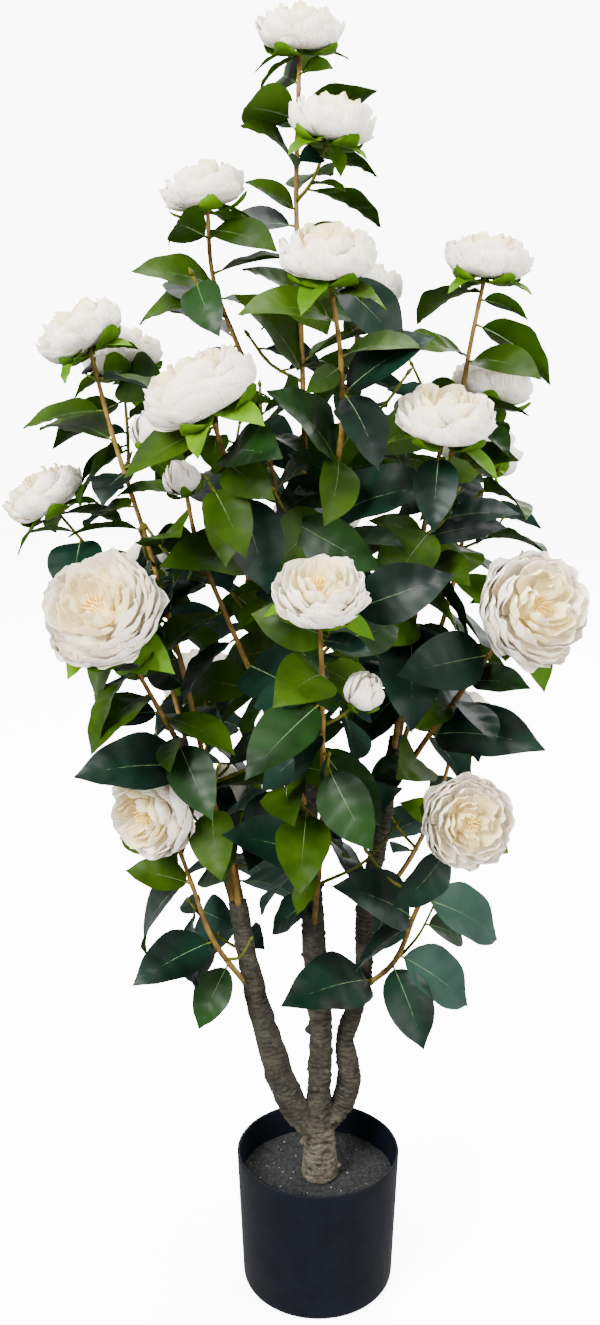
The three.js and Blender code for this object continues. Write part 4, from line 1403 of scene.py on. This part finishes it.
# ---- Pot, filling and limbs ----
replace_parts(make_pot(pot_finish), "pot")
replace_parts(make_filling(filling_finish), "filling")
make_crumbs("crumbs", 700, 3, 1.1, crumb_finish)
make_crumbs("pale_crumbs", 60, 8, 0.8, pale_crumb_finish)
bark = bark_finish()
# Height of the knobs, depth of the grooves and their spacing, in millimetres.
make_bark("trunk", bark, 4.4, 0.8, 6.5)
make_bark("bough_left", bark, 0.7, 0.6, 5.0)
make_bark("bough_right", bark, 2.6, 1.3, 4.6)

# ---- Sprays ----
# The pieces that all the sprays share, each with its finish and slot.
SPRAY_PIECES = {
    "stems": (stem_finish, "stems"),
    "twigs": (shoot_finish, "stems"),
    "leaf_stalks": (shoot_finish, "stems"),
    "leaf_faces_deep": (deep_finish, "foliage"),
    "leaf_faces_mid": (mid_finish, "foliage"),
    "leaf_faces_bright": (bright_finish, "foliage"),
    "leaf_faces_pale": (pale_finish, "foliage"),
    "leaf_backs_bright": (back_finish, "foliage"),
    "leaf_backs_grey": (grey_back_finish, "foliage"),
    "leaf_ribs": (rib_finish, "foliage"),
    "petals_outer": (outer_finish, "petals"),
    "petals_inner": (inner_finish, "petals"),
    "petals_heart": (heart_finish, "petals"),
    "sepals": (sepal_finish, "foliage"),
    "stamens": (stamen_finish, "petals"),
}


def add_shoots(shapes, plan):
    """Adds the stem and twigs of a spray, with a closed leaf bud at the end of each leafy twig."""
    shoot_tube(shapes["stems"], plan["stem"], 8, 7)
    for twig in plan["flower_twigs"] + plan["leafy_twigs"]:
        shoot_tube(shapes["twigs"], twig, 6, 8)
    for twig in plan["leafy_twigs"]:
        tip = twig["line"][-1]
        ahead = unit(tip - twig["line"][-2])
        add_spindle(shapes["twigs"], tip - ahead * 2, tip + ahead * 6, [1.3, 2.0, 1.6, 0.3], 6)


def sorted_leaves(leaves, number):
    """Leaves by the pieces that take their faces and backs. More of them are bright near the top: partly
    the leaves' own lighter green, partly painted light where the upper crown is lit through from behind.
    """
    groups = {}
    for i, one in enumerate(leaves):
        level = level_of(one["base"])
        tone = one.get("tone")
        if tone is None:
            # Partly painted light: the chance of a bright face, and below of a bright back, grows with
            # height.
            bright = chance(number, i, BRIGHT_DRAW) < 0.1 + 0.7 * level
            tone = "bright" if bright else ("mid" if chance(number, i, MID_DRAW) < 0.4 else "deep")
        back = "bright" if chance(number, i, BACK_DRAW) < 0.35 + 0.7 * level else "grey"
        groups.setdefault((f"leaf_faces_{tone}", f"leaf_backs_{back}"), []).append(one)
    return groups


def dress_sprays():
    """Makes the pieces of all the sprays."""
    grown = grow_sprays()
    fill_in(grown)
    shapes = {name: Shape() for name in SPRAY_PIECES}
    for number, plan in enumerate(grown):
        add_shoots(shapes, plan)
        leaves = plan["leaves"] + plan["small_leaves"]
        for (front, back), group in sorted_leaves(leaves, number).items():
            add_leaves(shapes, group, front, back)
        for i, bloom in enumerate(plan["spray"]["flowers"]):
            add_flower = add_open_flower if bloom["width"] > BUD_LIMIT else add_bud
            add_flower(shapes, bloom, 10 * number + i)
    for name, (finish, slot) in SPRAY_PIECES.items():
        mark_name = "across" if name.startswith("petals") else None
        piece = shapes[name].piece(name, finish, slot, mark_name=mark_name)
        if name == "stems":
            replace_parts(piece, *[spray["node"] for spray in SPRAYS])


dress_sprays()

# ---- Stage ----
scene = bpy.context.scene
LIGHT_TARGET = Vector((0, 0, 0.6))
LIGHTS = {
    # place, width and power
    "key": ((-1.9, -2.2, 2.6), 1.5, 560),
    "fill": ((2.4, -2.0, 1.4), 2.4, 225),
    "back": ((1.2, 2.6, 2.2), 2.4, 155),
    "top": ((0.2, 0.4, 3.4), 2.0, 335),
}
WORLD_LIGHT = 1.2
LENS = 38.34
SENSOR = 36
CAMERA_PLACE = (-0.018, -1.242, 0.985)
CAMERA_PITCH = 74.89  # degrees up from straight down
FLOOR_COLUMNS = 96


def area_light(name, place, size, power):
    """A soft square light that looks at the middle of the tree."""
    data = bpy.data.lights.new(name, "AREA")
    data.size = size
    data.energy = power
    lamp = bpy.data.objects.new(name, data)
    lamp.location = place
    lamp.rotation_euler = (LIGHT_TARGET - Vector(place)).to_track_quat("-Z", "Y").to_euler()
    scene.collection.objects.link(lamp)


def make_floor():
    """A wide round pale floor that curves up into a backdrop on all sides, and lights nothing itself."""
    bend = np.linspace(0, math.pi / 2, 13)
    profile = np.vstack([
        [[0.001, 0], [1, 0], [2.5, 0]],
        np.column_stack([4 + 3 * np.sin(bend), 3 - 3 * np.cos(bend)]),
        [[7, 14]],
    ])
    points = turned_points(profile, FLOOR_COLUMNS)
    faces = grid_faces(len(profile), FLOOR_COLUMNS, closed=True)[:, ::-1]
    mesh = bpy.data.meshes.new("floor")
    mesh.from_pydata(points.reshape(-1, 3).tolist(), [], faces.tolist())
    mesh.polygons.foreach_set("use_smooth", np.full(len(mesh.polygons), True))
    glow = {"Emission Color": (1, 1, 1, 1), "Emission Strength": 8}
    mesh.materials.append(toned("floor", "f4f4f4", "f7f7f7", 2, rough=(0.8, 0.9), constants=glow))
    floor = bpy.data.objects.new("floor", mesh)
    floor.visible_diffuse = False
    floor.visible_glossy = False
    floor.visible_shadow = False
    scene.collection.objects.link(floor)


make_floor()
for name, (place, size, power) in LIGHTS.items():
    area_light(name, place, size, power)
world = bpy.data.worlds.new("studio")
world.use_nodes = True
background = world.node_tree.nodes["Background"]
background.inputs["Color"].default_value = (1, 1, 1, 1)
background.inputs["Strength"].default_value = WORLD_LIGHT
scene.world = world

camera_data = bpy.data.cameras.new("camera")
camera_data.lens = LENS
camera_data.sensor_width = SENSOR
camera = bpy.data.objects.new("camera", camera_data)
camera.location = CAMERA_PLACE
camera.rotation_euler = (math.radians(CAMERA_PITCH), 0, 0)
scene.collection.objects.link(camera)
scene.camera = camera
